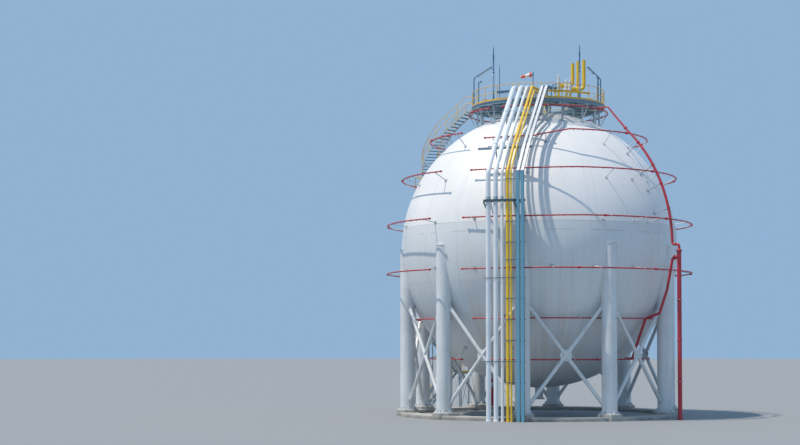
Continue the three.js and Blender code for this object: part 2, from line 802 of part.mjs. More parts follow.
// The tower's own frame: out from the axis, and along the tower away from the curved stair
const towerOut = around(TOWER_AZIMUTH, 1, 0);
const towerAlong = UP.clone().cross(towerOut);
const alongSign = towerAlong.x > 0 ? 1 : -1;

function inTower(out, along, height) {
  return towerOut.clone().multiplyScalar(out)
    .addScaledVector(towerAlong, alongSign * along)
    .setZ(height);
}

// A level slab in the tower's frame
function towerSlab(outFrom, outTo, alongFrom, alongTo, low, high) {
  const middle = (low + high) / 2;
  const out = (outFrom + outTo) / 2;
  return beam(inTower(out, alongFrom, middle), inTower(out, alongTo, middle), outTo - outFrom, high - low);
}

const landingEnd = -TOWER_HALF_LENGTH;
const flightFrom = -TOWER_HALF_LENGTH + TOWER_LANDING;
const flightTo = TOWER_HALF_LENGTH - TOWER_LANDING;
const laneWidth = (TOWER_OUTER - TOWER_INNER) / 2 - TOWER_POST - 2 * LANE_CLEARANCE;
const laneA = TOWER_INNER + TOWER_POST + LANE_CLEARANCE + laneWidth / 2;
const laneB = TOWER_OUTER - TOWER_POST - LANE_CLEARANCE - laneWidth / 2;

// Two flights with the half landing between them
function storeyShape(level) {
  const top = TOWER_TOP - level * STOREY_RISE;
  const middle = top - STOREY_RISE / 2;
  const bottom = top - STOREY_RISE;
  const turn = flightTo + FLIGHT_LEAD;
  const width = laneWidth - STRINGER_THICK;
  const lane = (start, end) => flight([start, end], TOWER_STEPS, width, TOWER_STRINGER);
  const down = lane(inTower(laneA, flightFrom, top), inTower(laneA, turn, middle));
  const back = lane(inTower(laneB, turn, middle), inTower(laneB, flightFrom, bottom));
  const [slabFrom, slabTo] = [laneA - laneWidth / 2, laneB + laneWidth / 2];
  const slabEnd = TOWER_HALF_LENGTH - TOWER_POST - SEAT_GAP;
  const slab = towerSlab(slabFrom, slabTo, flightTo, slabEnd, middle - TOWER_SLAB, middle);
  const [far, wide] = [2 * TOWER_OUTER, 2 * TOWER_HALF_LENGTH];
  const landings = towerSlab(0, far, -wide, flightFrom + SEAT_GAP, -TOWER_SLAB, 2 * TOWER_TOP);
  const ground = towerSlab(0, far, -wide, wide, -2 * TOWER_STRINGER, 0);
  return fuse([down, back, slab]).subtract(landings).subtract(ground);
}

function towerPost(out, along) {
  const half = TOWER_POST / 2;
  return towerSlab(out - half, out + half, along - half, along + half, 0, TOWER_TOP + RAIL_HEIGHT);
}

// Posts, the landings at the stair's end of the tower, and the sloping guard rails
function towerFrame() {
  const half = TOWER_POST / 2;
  const outs = [TOWER_INNER + half, TOWER_OUTER - half];
  const alongs = [-TOWER_HALF_LENGTH + half, flightFrom - half, flightTo + half, TOWER_HALF_LENGTH - half];
  const parts = outs.flatMap((out) => alongs.map((along) => towerPost(out, along)));
  const [inner, outer] = outs;
  const [first, second, third, last] = alongs;
  const rail = (from, to) => [RAIL_HEIGHT, MID_RAIL_HEIGHT].forEach((height) => {
    const [start, end] = [from, to].map(([out, along, level]) => inTower(out, along, level + height));
    parts.push(bar(start, end, RAIL_PIPE, 4));
  });
  for (let level = 0; level < TOWER_STOREYS; level += 1) {
    const top = TOWER_TOP - level * STOREY_RISE;
    const middle = top - STOREY_RISE / 2;
    const bottom = top - STOREY_RISE;
    const under = middle - TOWER_SLAB;
    parts.push(towerSlab(TOWER_INNER, TOWER_OUTER, landingEnd, flightFrom, top - TOWER_SLAB, top));
    rail([inner, second, top], [inner, third, middle]);
    rail([outer, third, middle], [outer, second, bottom]);
    rail([outer, first, top], [outer, second, top]);
    rail([inner, first, top], [outer, first, top]);
    rail([inner, last, middle], [outer, last, middle]);
    outs.forEach((out) => {
      parts.push(towerSlab(out - SLAB_EDGE / 2, out + SLAB_EDGE / 2, third, last, under, middle));
    });
    parts.push(towerSlab(inner, outer, last - SLAB_EDGE / 2, last + SLAB_EDGE / 2, under, middle));
  }
  return fuse(parts);
}

function addStairTower() {
  addMesh('stair_tower_frame', towerFrame(), 'steel');
  for (let level = 0; level < TOWER_STOREYS; level += 1) {
    addMesh(`stair_tower_storey_${TOWER_STOREYS - level}`, storeyShape(level), 'galvanised');
  }
}

// Pipe bundle

const bundleOut = around(BUNDLE_AZIMUTH, 1, 0);
const bundleRight = point(-bundleOut.y, bundleOut.x, 0);
const bundleFoot = bundleRight.clone().multiplyScalar(BUNDLE_SIDE);

function inBundle(out, offset, height) {
  return bundleFoot.clone()
    .addScaledVector(bundleOut, out)
    .addScaledVector(bundleRight, offset)
    .setZ(height);
}

// A line's corners: its level stretch lies at a height of its own and meets the common slope
function bundleCorners(offset, inner, lowest, top = LEVEL_TOP) {
  const share = (LEVEL_TOP - top) / (LEVEL_TOP - LEVEL_KINK);
  const elbow = BUNDLE_ELBOW + (BUNDLE_KINK - BUNDLE_ELBOW) * share;
  return [
    inBundle(inner, offset, top),
    inBundle(elbow, offset, top),
    inBundle(BUNDLE_KINK, offset, LEVEL_KINK),
    inBundle(BUNDLE_OUTER, offset, LEVEL_BEND),
    inBundle(BUNDLE_OUTER, offset, lowest),
  ];
}

// A pipe from a nozzle on the crown, over the deck and down the front to its foot plate
function pipeShape({ offset, radius, top }, extra = 0) {
  const corners = [
    inBundle(BUNDLE_INNER, offset, NOZZLE_FOOT),
    ...bundleCorners(offset, BUNDLE_INNER, 0, top),
  ];
  const line = swept(rounded(corners, PIPE_BEND * radius, 2), polygon(radius + extra, PIPE_SIDES));
  const [foot, lip] = [0, FOOT_THICK].map((level) => inBundle(BUNDLE_OUTER, offset, level));
  return fuse([line, bar(foot, lip, radius + FOOT_LIP, PIPE_SIDES)]);
}

function ladderShape({ offset }, extra = 0) {
  const wide = LADDER_WIDTH / 2 + extra;
  const deep = LADDER_DEPTH / 2 + extra;
  const section = [[-deep, -wide], [deep, -wide], [deep, wide], [-deep, wide]];
  const line = swept(bundleCorners(offset, LADDER_END, 0), section);
  const [foot, head] = [DECK_TOP + SEAT_GAP, LEVEL_TOP].map((level) => (
    inBundle(LADDER_END + LADDER_POST_SHIFT, offset, level)));
  return fuse([line, beam(foot, head, LADDER_POST, LADDER_POST)]);
}

function addPipes() {
  PIPES.forEach((pipe) => {
    addMesh(pipe.name, pipeShape(pipe).subtract(cutter), pipe.colour);
  });
  LADDERS.forEach((ladder) => {
    addMesh(ladder.name, ladderShape(ladder), 'blue');
  });
}

// The sloping stretch of the bundle: its height over the ground at a distance out
function slopeLevel(out) {
  const share = (out - BUNDLE_ELBOW) / (BUNDLE_KINK - BUNDLE_ELBOW);
  return LEVEL_TOP + (LEVEL_KINK - LEVEL_TOP) * share;
}

// A beam under the sloping pipes on legs that stand on the shell
function slopeSupport(out) {
  const level = slopeLevel(out) - SUPPORT_DROP;
  const [left, right] = SUPPORT_ENDS.map((offset) => inBundle(out, offset, level));
  const legs = SUPPORT_LEGS.map((offset) => {
    const foot = inBundle(out - SUPPORT_LEG_LEAN, offset, LEVEL_BEND);
    return bar(inBundle(out, offset, level), foot, SUPPORT_LEG_RADIUS);
  });
  return fuse([beam(left, right, SUPPORT_BEAM, SUPPORT_BEAM), ...legs]);
}

// The frame round the upright pipes, with side members and braces back to the shell
function mainBracket() {
  const level = BRACKET_LEVEL;
  const low = level - BRACKET_BRACE_DROP;
  const member = (from, to, section) => beam(inBundle(...from), inBundle(...to), ...section);
  const parts = [
    member([BRACKET_FRONT, BRACKET_LEFT, level], [BRACKET_FRONT, BRACKET_RIGHT, level], BRACKET_BEAM),
    member([BRACKET_BACK, BRACKET_LEFT, level], [BRACKET_BACK, BRACKET_LAST, level], BRACKET_BEAM),
  ];
  [BRACKET_LEFT, BRACKET_RIGHT].forEach((offset) => {
    parts.push(member([BRACKET_FRONT, offset, level], [BRACKET_ROOT, offset, level], BRACKET_MEMBER));
    parts.push(member([BRACKET_FRONT, offset, level], [BRACKET_ROOT, offset, low], BRACKET_BRACE));
  });
  return fuse(parts);
}

function addBrackets() {
  const grown = [
    ...PIPES.map((pipe) => pipeShape(pipe, SEAT_GAP)),
    ...LADDERS.map((ladder) => ladderShape(ladder, SEAT_GAP)),
  ];
  const cleared = (shape) => grown.reduce((whole, pipe) => whole.subtract(pipe), shape.subtract(cutter));
  addMesh('pipe_bracket_main', cleared(mainBracket()), 'dark');
  Object.entries(SUPPORTS).forEach(([name, out]) => {
    addMesh(`pipe_support_${name}`, cleared(slopeSupport(out)), 'dark');
  });
}

// Relief manifold: a neck on the crown, a header, three valves and three vent stacks
function reliefManifold() {
  const at = (place, height) => point(...place, height);
  const upright = (place, low, high, radius, sides) => bar(at(place, low), at(place, high), radius, sides);
  const { start, end, radius } = HEADER;
  const { place, foot } = HEADER_NECK;
  const parts = [
    upright(place, foot, HEADER_LEVEL, HEADER_NECK.radius, 8),
    bar(at(place, HEADER_LEVEL), at(HEADER_LINK.end, HEADER_LEVEL), HEADER_LINK.radius),
    bar(at(start, HEADER_LEVEL), at(end, HEADER_LEVEL), radius, 8),
    ...HEADER_POSTS.map((post) => upright(post.place, DECK_TOP + SEAT_GAP, post.top, post.radius, 4)),
  ];
  RELIEF_LINES.forEach(({ valve, vent, outlet, tip, top }) => {
    const bonnet = outlet + VALVE_HIGH;
    parts.push(upright(valve, HEADER_LEVEL, outlet, INLET_RADIUS, 6));
    parts.push(upright(valve, outlet - VALVE_LOW, bonnet, VALVE_RADIUS, 8));
    parts.push(upright(valve, bonnet, tip, BONNET_RADIUS, 6));
    const corners = [at(valve, outlet), at(vent, outlet), at(vent, top)];
    parts.push(swept(rounded(corners, VENT_BEND), polygon(VENT_RADIUS, 8)));
  });
  return fuse(parts).subtract(cutter);
}

// Masts, lamps and windsock

// A pole on a base plate that stands on the deck
function pole(x, y, top, radius) {
  const foot = DECK_TOP + SEAT_GAP;
  return fuse([
    block([x - POLE_PLATE, y - POLE_PLATE, foot], [x + POLE_PLATE, y + POLE_PLATE, foot + POLE_PLATE_THICK]),
    bar(point(x, y, foot), point(x, y, top), radius),
  ]);
}

function mast(azimuth) {
  const place = around(azimuth, POST_DISTANCE, 0);
  const [low, high] = [MAST_TOP - MAST_TIP, MAST_TOP].map((level) => place.clone().setZ(level));
  return fuse([pole(place.x, place.y, low.z, MAST_RADIUS), bar(low, high, MAST_TIP_RADIUS)]);
}

// A lamp post whose top bends over into a sloping arm that carries a long lamp. A stay is a
// second post beside it that holds the arm.
function lampPost({ azimuth, distance, top, arm, shares, stay }) {
  const place = around(azimuth, distance, 0);
  const [reach, rise] = arm;
  const corners = [
    point(place.x, place.y, DECK_TOP + SEAT_GAP),
    point(place.x, place.y, top),
    point(place.x + reach, place.y, top + rise),
  ];
  const [lampFrom, lampTo] = shares.map((share) => (
    point(place.x + reach * share, place.y, top + rise * share - LAMP_DROP)));
  const parts = [
    pole(place.x, place.y, DECK_TOP + 2 * POLE_PLATE, LAMP_POLE),
    swept(rounded(corners, LAMP_BEND), polygon(LAMP_POLE, 6)),
    beam(lampFrom, lampTo, LAMP_WIDTH, LAMP_DEPTH),
  ];
  if (stay) {
    parts.push(pole(place.x + stay, place.y, top + rise * stay / reach, LAMP_STAY));
  }
  return fuse(parts);
}

function addMasts() {
  Object.entries(MAST_AZIMUTHS).forEach(([side, azimuth]) => {
    addMesh(`lightning_mast_${side}`, mast(azimuth), 'blue');
  });
  Object.entries(LAMP_POSTS).forEach(([side, lamp]) => {
    addMesh(`lamp_post_${side}`, lampPost(lamp), 'blue');
  });
}

function addWindsock() {
  const [x, y] = SOCK_POLE;
  const arm = bar(point(x, y, SOCK_HEIGHT), point(x - SOCK_ARM, y, SOCK_HEIGHT), 30, 6);
  addMesh('windsock_pole', fuse([pole(x, y, SOCK_HEIGHT + 200, 35), arm]), 'blue');
  const sock = new THREE.CylinderGeometry(SOCK_TAIL, SOCK_MOUTH, SOCK_LENGTH, 12);
  sock.rotateZ(Math.PI / 2);
  sock.rotateY(-SOCK_TILT);
  const reach = SOCK_LENGTH / 2 * Math.cos(SOCK_TILT);
  const drop = SOCK_LENGTH / 2 * Math.sin(SOCK_TILT);
  sock.translate(x - SOCK_ARM - 7 - reach, y, SOCK_HEIGHT - drop);
  addMesh('windsock', solid(sock), 'orange');
}

addShell();
addLegs();
addFoundation();
addBottomNozzle();
addSpraySystem();
addPlatformDeck();
addPlatformFrame();
addRailings();
addUpperStair();
addStairTower();
addPipes();
addBrackets();
addMesh('relief_manifold', reliefManifold(), 'yellow');
addMasts();
addWindsock();

export default group;
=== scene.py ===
"""Looks of a spherical gas tank on braced legs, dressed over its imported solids.

Metres, +Z up, origin on the tank's axis at ground level, the front with the pipes faces -Y.
An azimuth is in degrees from the front, positive towards +X.
"""

import math

import bmesh
import bpy
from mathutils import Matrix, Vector


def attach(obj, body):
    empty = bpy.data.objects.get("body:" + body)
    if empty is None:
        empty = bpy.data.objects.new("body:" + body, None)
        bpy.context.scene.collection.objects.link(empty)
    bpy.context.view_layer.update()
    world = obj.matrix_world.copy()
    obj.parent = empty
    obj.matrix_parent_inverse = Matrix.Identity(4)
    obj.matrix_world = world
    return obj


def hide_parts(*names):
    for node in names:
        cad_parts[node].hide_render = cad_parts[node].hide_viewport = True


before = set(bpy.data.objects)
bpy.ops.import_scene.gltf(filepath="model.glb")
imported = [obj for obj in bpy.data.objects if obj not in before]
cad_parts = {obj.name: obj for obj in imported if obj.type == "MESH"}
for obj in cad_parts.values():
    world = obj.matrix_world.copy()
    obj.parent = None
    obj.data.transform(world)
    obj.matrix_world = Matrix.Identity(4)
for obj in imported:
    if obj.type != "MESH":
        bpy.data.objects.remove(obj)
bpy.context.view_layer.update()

# Driving dimensions, the same as the solids have

SHELL_RADIUS = 10.0
CENTRE = 12.0
TURN = -6.6
LEG_COUNT = 10
LEG_CIRCLE = 9.64
LEG_RADIUS = 0.525
PEDESTAL_TOP = 0.45
BRACE_RADIUS = 0.13
BRACE_CROSSING = 4.4
BRACE_RISE = 3.9
RING_SPHERE = 11.17
RING_PIPE = 0.048
DECK_RADIUS = 4.87
DECK_HOLE = 2.35
DECK_TOP = 22.5
RAIL_RADIUS = 4.82
RAIL_HEIGHT = 1.05
MID_RAIL = 0.54
OUTER_POSTS = 16
INNER_POSTS = 8
OUTER_POST_RADIUS = 4.45
INNER_POST_RADIUS = 2.6
BUNDLE_AZIMUTH = -17.1
BUNDLE_SIDE = 1.05
BUNDLE_INNER = 1.6
BUNDLE_ELBOW = 5.14
BUNDLE_KINK = 9.31
BUNDLE_OUTER = 10.78
LEVEL_TOP = 23.21
LEVEL_KINK = 18.67
LEVEL_BEND = 16.7
TOWER_AZIMUTH = -140.2
TOWER_INNER = 11.21
TOWER_OUTER = 12.55
TOWER_HALF = 2.2
TOWER_LANDING = 0.85
TOWER_TOP = 17.2
TOWER_STOREYS = 3
STOREY_RISE = 5.72
TOWER_STEPS = 13
TOWER_POST = 0.09
STAIR_WIDTH = 1.1
STAIR_STEPS = 26
STAIR_ROUTE = [(-5.07, 1.87, 22.5), (-7.09, 3.21, 20.77), (-8.22, 5.05, 19.06), (-8.45, 7.565, 17.2)]
MAST_TOP = 26.38
POST_DISTANCE = 4.6

UP = Vector((0, 0, 1))
RIGHT = Vector((1, 0, 0))
BACK = Vector((0, 1, 0))
SIDES = (-1, 1)

# Places


def around(azimuth, distance, height=0.0):
    angle = math.radians(azimuth)
    return Vector((distance * math.sin(angle), -distance * math.cos(angle), height))


def on_shell(azimuth, latitude, radius=SHELL_RADIUS):
    lift = math.radians(latitude)
    return around(azimuth, radius * math.cos(lift), CENTRE + radius * math.sin(lift))


def outward(place):
    return (place - UP * CENTRE).normalized()


def on_sphere(place):
    """The shell's point straight between a place and the centre."""
    return UP * CENTRE + outward(place) * SHELL_RADIUS


def shell_level(radius):
    return CENTRE + math.sqrt(SHELL_RADIUS ** 2 - radius ** 2)


def upright(place, height):
    return Vector((place[0], place[1], height))


def level_way(way):
    return upright(way, 0).normalized()


def left_of(way):
    return Vector((-way.y, way.x, 0))


BUNDLE_OUT = around(BUNDLE_AZIMUTH, 1)
BUNDLE_RIGHT = left_of(BUNDLE_OUT)
TOWER_OUT = around(TOWER_AZIMUTH, 1)
TOWER_ALONG = -left_of(TOWER_OUT)


def in_bundle(out, offset, height):
    return upright(BUNDLE_RIGHT * (BUNDLE_SIDE + offset) + BUNDLE_OUT * out, height)


def in_tower(out, along, height):
    return upright(TOWER_OUT * out + TOWER_ALONG * along, height)


def spread(first, last, count):
    return [first + (last - first) * k / (count - 1) for k in range(count)]


def turns(count, start=0.0):
    return [2 * math.pi * (k + start) / count for k in range(count)]


def on_circle(centre, first, second, radius, angle):
    return centre + (first * math.cos(angle) + second * math.sin(angle)) * radius


def sides_of(direction):
    """Two unit vectors square to a direction; the first one is level where it can be."""
    along = direction.normalized()
    side = UP.cross(along)
    if side.length < 1e-6:
        side = Vector((1, 0, 0))
    side.normalize()
    return side, along.cross(side)


def way_at(points, k):
    """The direction of a line of points at one of them."""
    return (points[min(k + 1, len(points) - 1)] - points[max(k - 1, 0)]).normalized()


def rounded(corners, radius, steps=6):
    """A route's corners, each one rounded by an arc of the given radius."""
    points = [corners[0]]
    for k in range(1, len(corners) - 1):
        before = (corners[k - 1] - corners[k]).normalized()
        after = (corners[k + 1] - corners[k]).normalized()
        turn = math.pi - before.angle(after)
        reach = radius * math.tan(turn / 2)
        centre = corners[k] + (before + after).normalized() * radius / math.cos(turn / 2)
        first = corners[k] + before * reach - centre
        last = corners[k] + after * reach - centre
        for j in range(steps + 1):
            points.append(centre + first.slerp(last, j / steps).normalized() * radius)
    points.append(corners[-1])
    return points


def shell_hit(start, end):
    """Where a line from outside meets the shell."""
    low, high = 0.0, 1.0
    for _ in range(40):
        middle = (low + high) / 2
        if (start.lerp(end, middle) - UP * CENTRE).length > SHELL_RADIUS:
            low = middle
        else:
            high = middle
    return start.lerp(end, high)


# Shapes: each function adds faces to a Shape, which then makes one piece


class Shape:
    def __init__(self):
        self.points = []
        self.faces = []

    def add(self, points, faces, smooth=False, skin=0):
        base = len(self.points)
        self.points.extend(tuple(place) for place in points)
        self.faces.extend(([base + k for k in face], smooth, skin) for face in faces)

    def make(self, name, skins, replaced=()):
        mesh = bpy.data.meshes.new(name)
        mesh.from_pydata(self.points, [], [face for face, _, _ in self.faces])
        mesh.polygons.foreach_set("use_smooth", [smooth for _, smooth, _ in self.faces])
        mesh.polygons.foreach_set("material_index", [skin for _, _, skin in self.faces])
        for skin in skins:
            mesh.materials.append(skin)
        mesh.update()
        piece = bpy.data.objects.new(name, mesh)
        bpy.context.scene.collection.objects.link(piece)
        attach(piece, "root")
        if replaced:
            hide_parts(*replaced)
        return piece


def loft(shape, rows, smooth=False, skin=0, capped=True):
    """Faces between rows of points, each row closed on itself, and one over each end."""
    count, last = len(rows[0]), len(rows) - 1
    faces = []
    for k in range(last):
        near, far = k * count, (k + 1) * count
        faces += [(near + j, near + (j + 1) % count, far + (j + 1) % count, far + j) for j in range(count)]
    if capped:
        faces += [tuple(reversed(range(count))), tuple(range(last * count, (last + 1) * count))]
    shape.add([place for row in rows for place in row], faces, smooth, skin)


def tube(shape, points, radius, sides=16, skin=0, capped=True):
    """A round tube along points. The radius is one number or one for each point."""
    radii = radius if isinstance(radius, list) else [radius] * len(points)
    normal = sides_of(way_at(points, 0))[0]
    rows = []
    for k, place in enumerate(points):
        tangent = way_at(points, k)
        normal = (normal - tangent * normal.dot(tangent)).normalized()
        rows.append([on_circle(place, normal, tangent.cross(normal), radii[k], a) for a in turns(sides)])
    loft(shape, rows, True, skin, False)
    if capped:
        shape.add(rows[0], [tuple(reversed(range(sides)))], False, skin)
        shape.add(rows[-1], [tuple(range(sides))], False, skin)


def turned(shape, profile, origin=Vector(), axis=UP, sides=32, skin=0):
    """A profile of (radius, height) turned round an axis, with a hard edge at each corner."""
    along = axis.normalized()
    side, other = sides_of(along)
    for (r0, h0), (r1, h1) in zip(profile, profile[1:]):
        near, far = [[on_circle(origin + along * h, side, other, r, a) for a in turns(sides)]
                     for r, h in ((r0, h0), (r1, h1))]
        faces = []
        for j in range(sides):
            i = (j + 1) % sides
            if r0 < 1e-6:
                faces.append((j, sides + i, sides + j))
            elif r1 < 1e-6:
                faces.append((j, i, sides + j))
            else:
                faces.append((j, i, sides + i, sides + j))
        shape.add(near + far, faces, abs(h1 - h0) > 1e-6, skin)


def disc(shape, start, end, radius, sides=32, skin=0):
    """A closed cylinder from one point to another, with a small chamfer at both ends."""
    length = (end - start).length
    edge = min(0.12 * radius, 0.25 * length, 0.006)
    profile = [(0, 0), (radius - edge, 0), (radius, edge), (radius, length - edge),
               (radius - edge, length), (0, length)]
    turned(shape, profile, start, end - start, sides, skin)


def collar(shape, place, axis, half, radius, sides=20, skin=0):
    """A disc that reaches as far to both sides of a place."""
    disc(shape, place - axis * half, place + axis * half, radius, sides, skin)


def pad(shape, foot, back, front, radius, sides=20, skin=0):
    """A round plate on the shell."""
    out = outward(foot)
    disc(shape, foot - out * back, foot + out * front, radius, sides, skin)


def block(shape, middle, first, second, third, skin=0):
    """A box about its middle; the three vectors are its half extents."""
    if first.cross(second).dot(third) < 0:
        second = -second
    corners = [middle + first * i + second * j + third * k for i in SIDES for j in SIDES for k in SIDES]
    faces = [(0, 1, 3, 2), (4, 6, 7, 5), (0, 4, 5, 1), (2, 3, 7, 6), (0, 2, 6, 4), (1, 5, 7, 3)]
    shape.add(corners, faces, False, skin)


def beam(shape, start, end, width, depth, skin=0, upward=UP):
    """A rectangular bar: its depth lies nearest to a given way, its width is square to it."""
    along = (end - start).normalized()
    side = upward.cross(along).normalized()
    up = along.cross(side)
    block(shape, (start + end) / 2, (end - start) / 2, side * width / 2, up * depth / 2, skin)


def rod(shape, foot, heights, radius, sides=16, skin=0):
    tube(shape, [foot + UP * height for height in heights], radius, sides, skin)


def prism(shape, profile, side, skin=0):
    """A flat plate: a profile moved by +side and by -side."""
    loft(shape, [[place + side * way for place in profile] for way in SIDES], False, skin)


def chamfered(shape, outline, low, high, edge, skin=0):
    """An upright prism over an outline, with its upper edge chamfered."""
    middle = sum(outline, Vector()) / len(outline)
    inner = [place + (middle - place).normalized() * edge for place in outline]
    levels = ((outline, low), (outline, high - edge), (inner, high))
    loft(shape, [[upright(place, level) for place in row] for row, level in levels], False, skin)


def studs(shape, centre, axis, circle, count, size=0.016, height=0.03, skin=0):
    """A circle of hexagon nuts that stand on a face."""
    side, other = sides_of(axis)
    for angle in turns(count, 0.5):
        foot = on_circle(centre, side, other, circle, angle)
        tube(shape, [foot, foot + axis.normalized() * height], size, 6, skin)


def flange_pair(shape, centre, axis, radius, pipe, skin=0, bolt_skin=0, bolts=12):
    """Two bolted flanges face to face, with a fine gap, on a pipe."""
    thick = 0.16 * radius + 0.01
    for side in SIDES:
        along = axis.normalized() * side
        near = centre + along * 0.004
        neck = near + along * thick
        disc(shape, near, neck, radius, 32, skin)
        turned(shape, [(pipe * 1.45, 0), (pipe * 1.02, thick * 1.2)], neck, along, 32, skin)
        studs(shape, neck, along, (radius + pipe * 1.4) / 2, bolts, 0.1 * radius, 0.09 * radius, bolt_skin)


# Camera, light and floor

IMAGE_WIDTH = 800
SENSOR = 36.0
FOCAL_PIXELS = 1605.6
EYE = (-0.0779, -117.625, 5.252)
EYE_TILT = 0.0399723
EYE_TURN = 0.0855241
FRAME_SHIFT = 0.07
SUN_WAY = Vector((-0.40, -0.145, 0.903))
SUN_STRENGTH = 3.45
SUN_SPREAD = 1.2
SUN_COLOUR = (1.0, 0.89, 0.76)
SKY_STRENGTH = 0.95
SKY_COLOUR = (0.30, 0.47, 0.68, 1)
FLOOR_REACH = 420.0
FLOOR_DROP = 0.002
FLOOR_COLOUR = (0.28, 0.295, 0.31, 1)
FLOOR_ROUGHNESS = 0.85


def stage_floor():
    mesh = bpy.data.meshes.new("floor")
    ring = [(FLOOR_REACH * math.cos(a), FLOOR_REACH * math.sin(a), 0) for a in turns(96)]
    mesh.from_pydata(ring, [], [tuple(range(len(ring)))])
    skin = bpy.data.materials.new("floor_finish")
    skin.use_nodes = True
    shader = skin.node_tree.nodes["Principled BSDF"]
    shader.inputs["Base Color"].default_value = FLOOR_COLOUR
    shader.inputs["Roughness"].default_value = FLOOR_ROUGHNESS
    mesh.materials.append(skin)
    floor = bpy.data.objects.new("floor", mesh)
    floor.location.z = -FLOOR_DROP
    bpy.context.scene.collection.objects.link(floor)


def set_stage():
    scene = bpy.context.scene
    camera = bpy.data.cameras.new("camera")
    camera.sensor_width = SENSOR
    camera.lens = FOCAL_PIXELS / IMAGE_WIDTH * SENSOR
    camera.shift_y = FRAME_SHIFT
    camera.clip_end = 2000
    eye = bpy.data.objects.new("camera", camera)
    eye.location = EYE
    eye.rotation_euler = (math.pi / 2 + EYE_TILT, 0, EYE_TURN)
    scene.collection.objects.link(eye)
    scene.camera = eye

    sun = bpy.data.lights.new("sun", "SUN")
    sun.energy = SUN_STRENGTH
    sun.angle = math.radians(SUN_SPREAD)
    sun.color = SUN_COLOUR
    lamp = bpy.data.objects.new("sun", sun)
    lamp.rotation_euler = SUN_WAY.to_track_quat("Z", "Y").to_euler()
    scene.collection.objects.link(lamp)

    world = bpy.data.worlds.new("sky")
    world.use_nodes = True
    back = world.node_tree.nodes["Background"]
    back.inputs["Color"].default_value = SKY_COLOUR
    back.inputs["Strength"].default_value = SKY_STRENGTH
    scene.world = world
    scene.view_settings.view_transform = "Standard"
    stage_floor()


set_stage()

# Materials: each one is built from a few short calls that add nodes and return sockets


class Skin:
    def __init__(self, name, metallic=0.0, coat=0.0):
        self.material = bpy.data.materials.new(name)
        self.material.use_nodes = True
        self.tree = self.material.node_tree
        self.shader = self.tree.nodes["Principled BSDF"]
        self.shader.inputs["Metallic"].default_value = metallic
        self.shader.inputs["Coat Weight"].default_value = coat

    def node(self, kind, values=(), **settings):
        node = self.tree.nodes.new("ShaderNode" + kind)
        for key, value in settings.items():
            setattr(node, key, value)
        for socket, value in zip(node.inputs, values):
            self.feed(socket, value)
        return node

    def feed(self, socket, value):
        if isinstance(value, bpy.types.NodeSocket):
            self.tree.links.new(value, socket)
        else:
            socket.default_value = value

    def place(self):
        return self.node("TexCoord").outputs["Object"]

    def normal(self):
        return self.node("NewGeometry").outputs["Normal"]

    def math(self, operation, *values):
        return self.node("Math", values, operation=operation).outputs[0]

    def times(self, first, second):
        return self.math("MULTIPLY", first, second)

    def scaled(self, vector, factors):
        return self.node("VectorMath", (vector, factors), operation="MULTIPLY").outputs[0]

    def parts(self, vector):
        return self.node("SeparateXYZ", (vector,)).outputs

    def joined(self, *values):
        return self.node("CombineXYZ", values).outputs[0]

    def noise(self, vector, scale, detail=4.0, roughness=0.55):
        node = self.node("TexNoise")
        settings = (("Vector", vector), ("Scale", scale), ("Detail", detail), ("Roughness", roughness))
        for key, value in settings:
            self.feed(node.inputs[key], value)
        return node.outputs["Fac"]

    def span(self, value, low, high, to_low=0.0, to_high=1.0):
        node = self.node("MapRange", (value, low, high, to_low, to_high), interpolation_type="SMOOTHSTEP")
        return node.outputs[0]

    def mix(self, share, first, second):
        node = self.node("Mix", data_type="RGBA")
        self.feed(node.inputs["Factor"], share)
        for slot, colour in ((6, first), (7, second)):
            self.feed(node.inputs[slot], (*colour, 1) if isinstance(colour, tuple) else colour)
        return node.outputs[2]

    def finish(self, colour, roughness, height, strength, distance):
        bump = self.node("Bump")
        bump.inputs["Strength"].default_value = strength
        bump.inputs["Distance"].default_value = distance
        self.feed(bump.inputs["Height"], height)
        for key, value in (("Base Color", colour), ("Roughness", roughness), ("Normal", bump.outputs[0])):
            self.feed(self.shader.inputs[key], value)
        return self.material


DUST = (0.55, 0.53, 0.49)


def painted(name, colour, dirt, wear=(0.30, 0.16, 0.09), amount=0.5, rust=0.0, gloss=0.4, coat=0.15):
    """Weathered paint: slow patches, rain runs, dust on what faces up and, where asked, rust."""
    skin = Skin(name, coat=coat)
    place = skin.place()
    patches = skin.noise(place, 0.55, 3)
    fine = skin.noise(place, 14.0, 6, 0.65)
    runs = skin.noise(skin.scaled(place, (5.0, 5.0, 0.35)), 1.0, 5, 0.6)
    faded = tuple(min(1, c * 0.86 + 0.02) for c in colour)
    paint = skin.mix(skin.span(patches, 0.35, 0.7), colour, faded)
    paint = skin.mix(skin.times(skin.span(runs, 0.48, 0.78), amount), paint, dirt)
    up = skin.span(skin.parts(skin.normal())[2], 0.3, 1.0)
    paint = skin.mix(skin.times(up, skin.span(fine, 0.35, 0.75, 0.05, 0.35)), paint, DUST)
    if rust:
        spots = skin.span(skin.noise(place, 6.0, 7, 0.7), 0.64 - 0.1 * rust, 0.80)
        paint = skin.mix(skin.times(spots, rust), paint, wear)
    return skin.finish(paint, skin.span(fine, 0.3, 0.7, gloss - 0.08, gloss + 0.16), fine, 0.12, 0.004)


def metal(name, colour, stain, roughness, metallic):
    skin = Skin(name, metallic)
    place = skin.place()
    spangle = skin.noise(place, 22.0, 3, 0.7)
    stains = skin.noise(skin.scaled(place, (3.0, 3.0, 0.8)), 1.0, 5, 0.6)
    base = skin.mix(skin.span(spangle, 0.35, 0.65), colour, tuple(c * 0.78 for c in colour))
    full = skin.mix(skin.span(stains, 0.5, 0.8, 0.0, 0.6), base, stain)
    rough = skin.span(spangle, 0.3, 0.7, roughness - 0.1, roughness + 0.15)
    return skin.finish(full, rough, spangle, 0.1, 0.003)


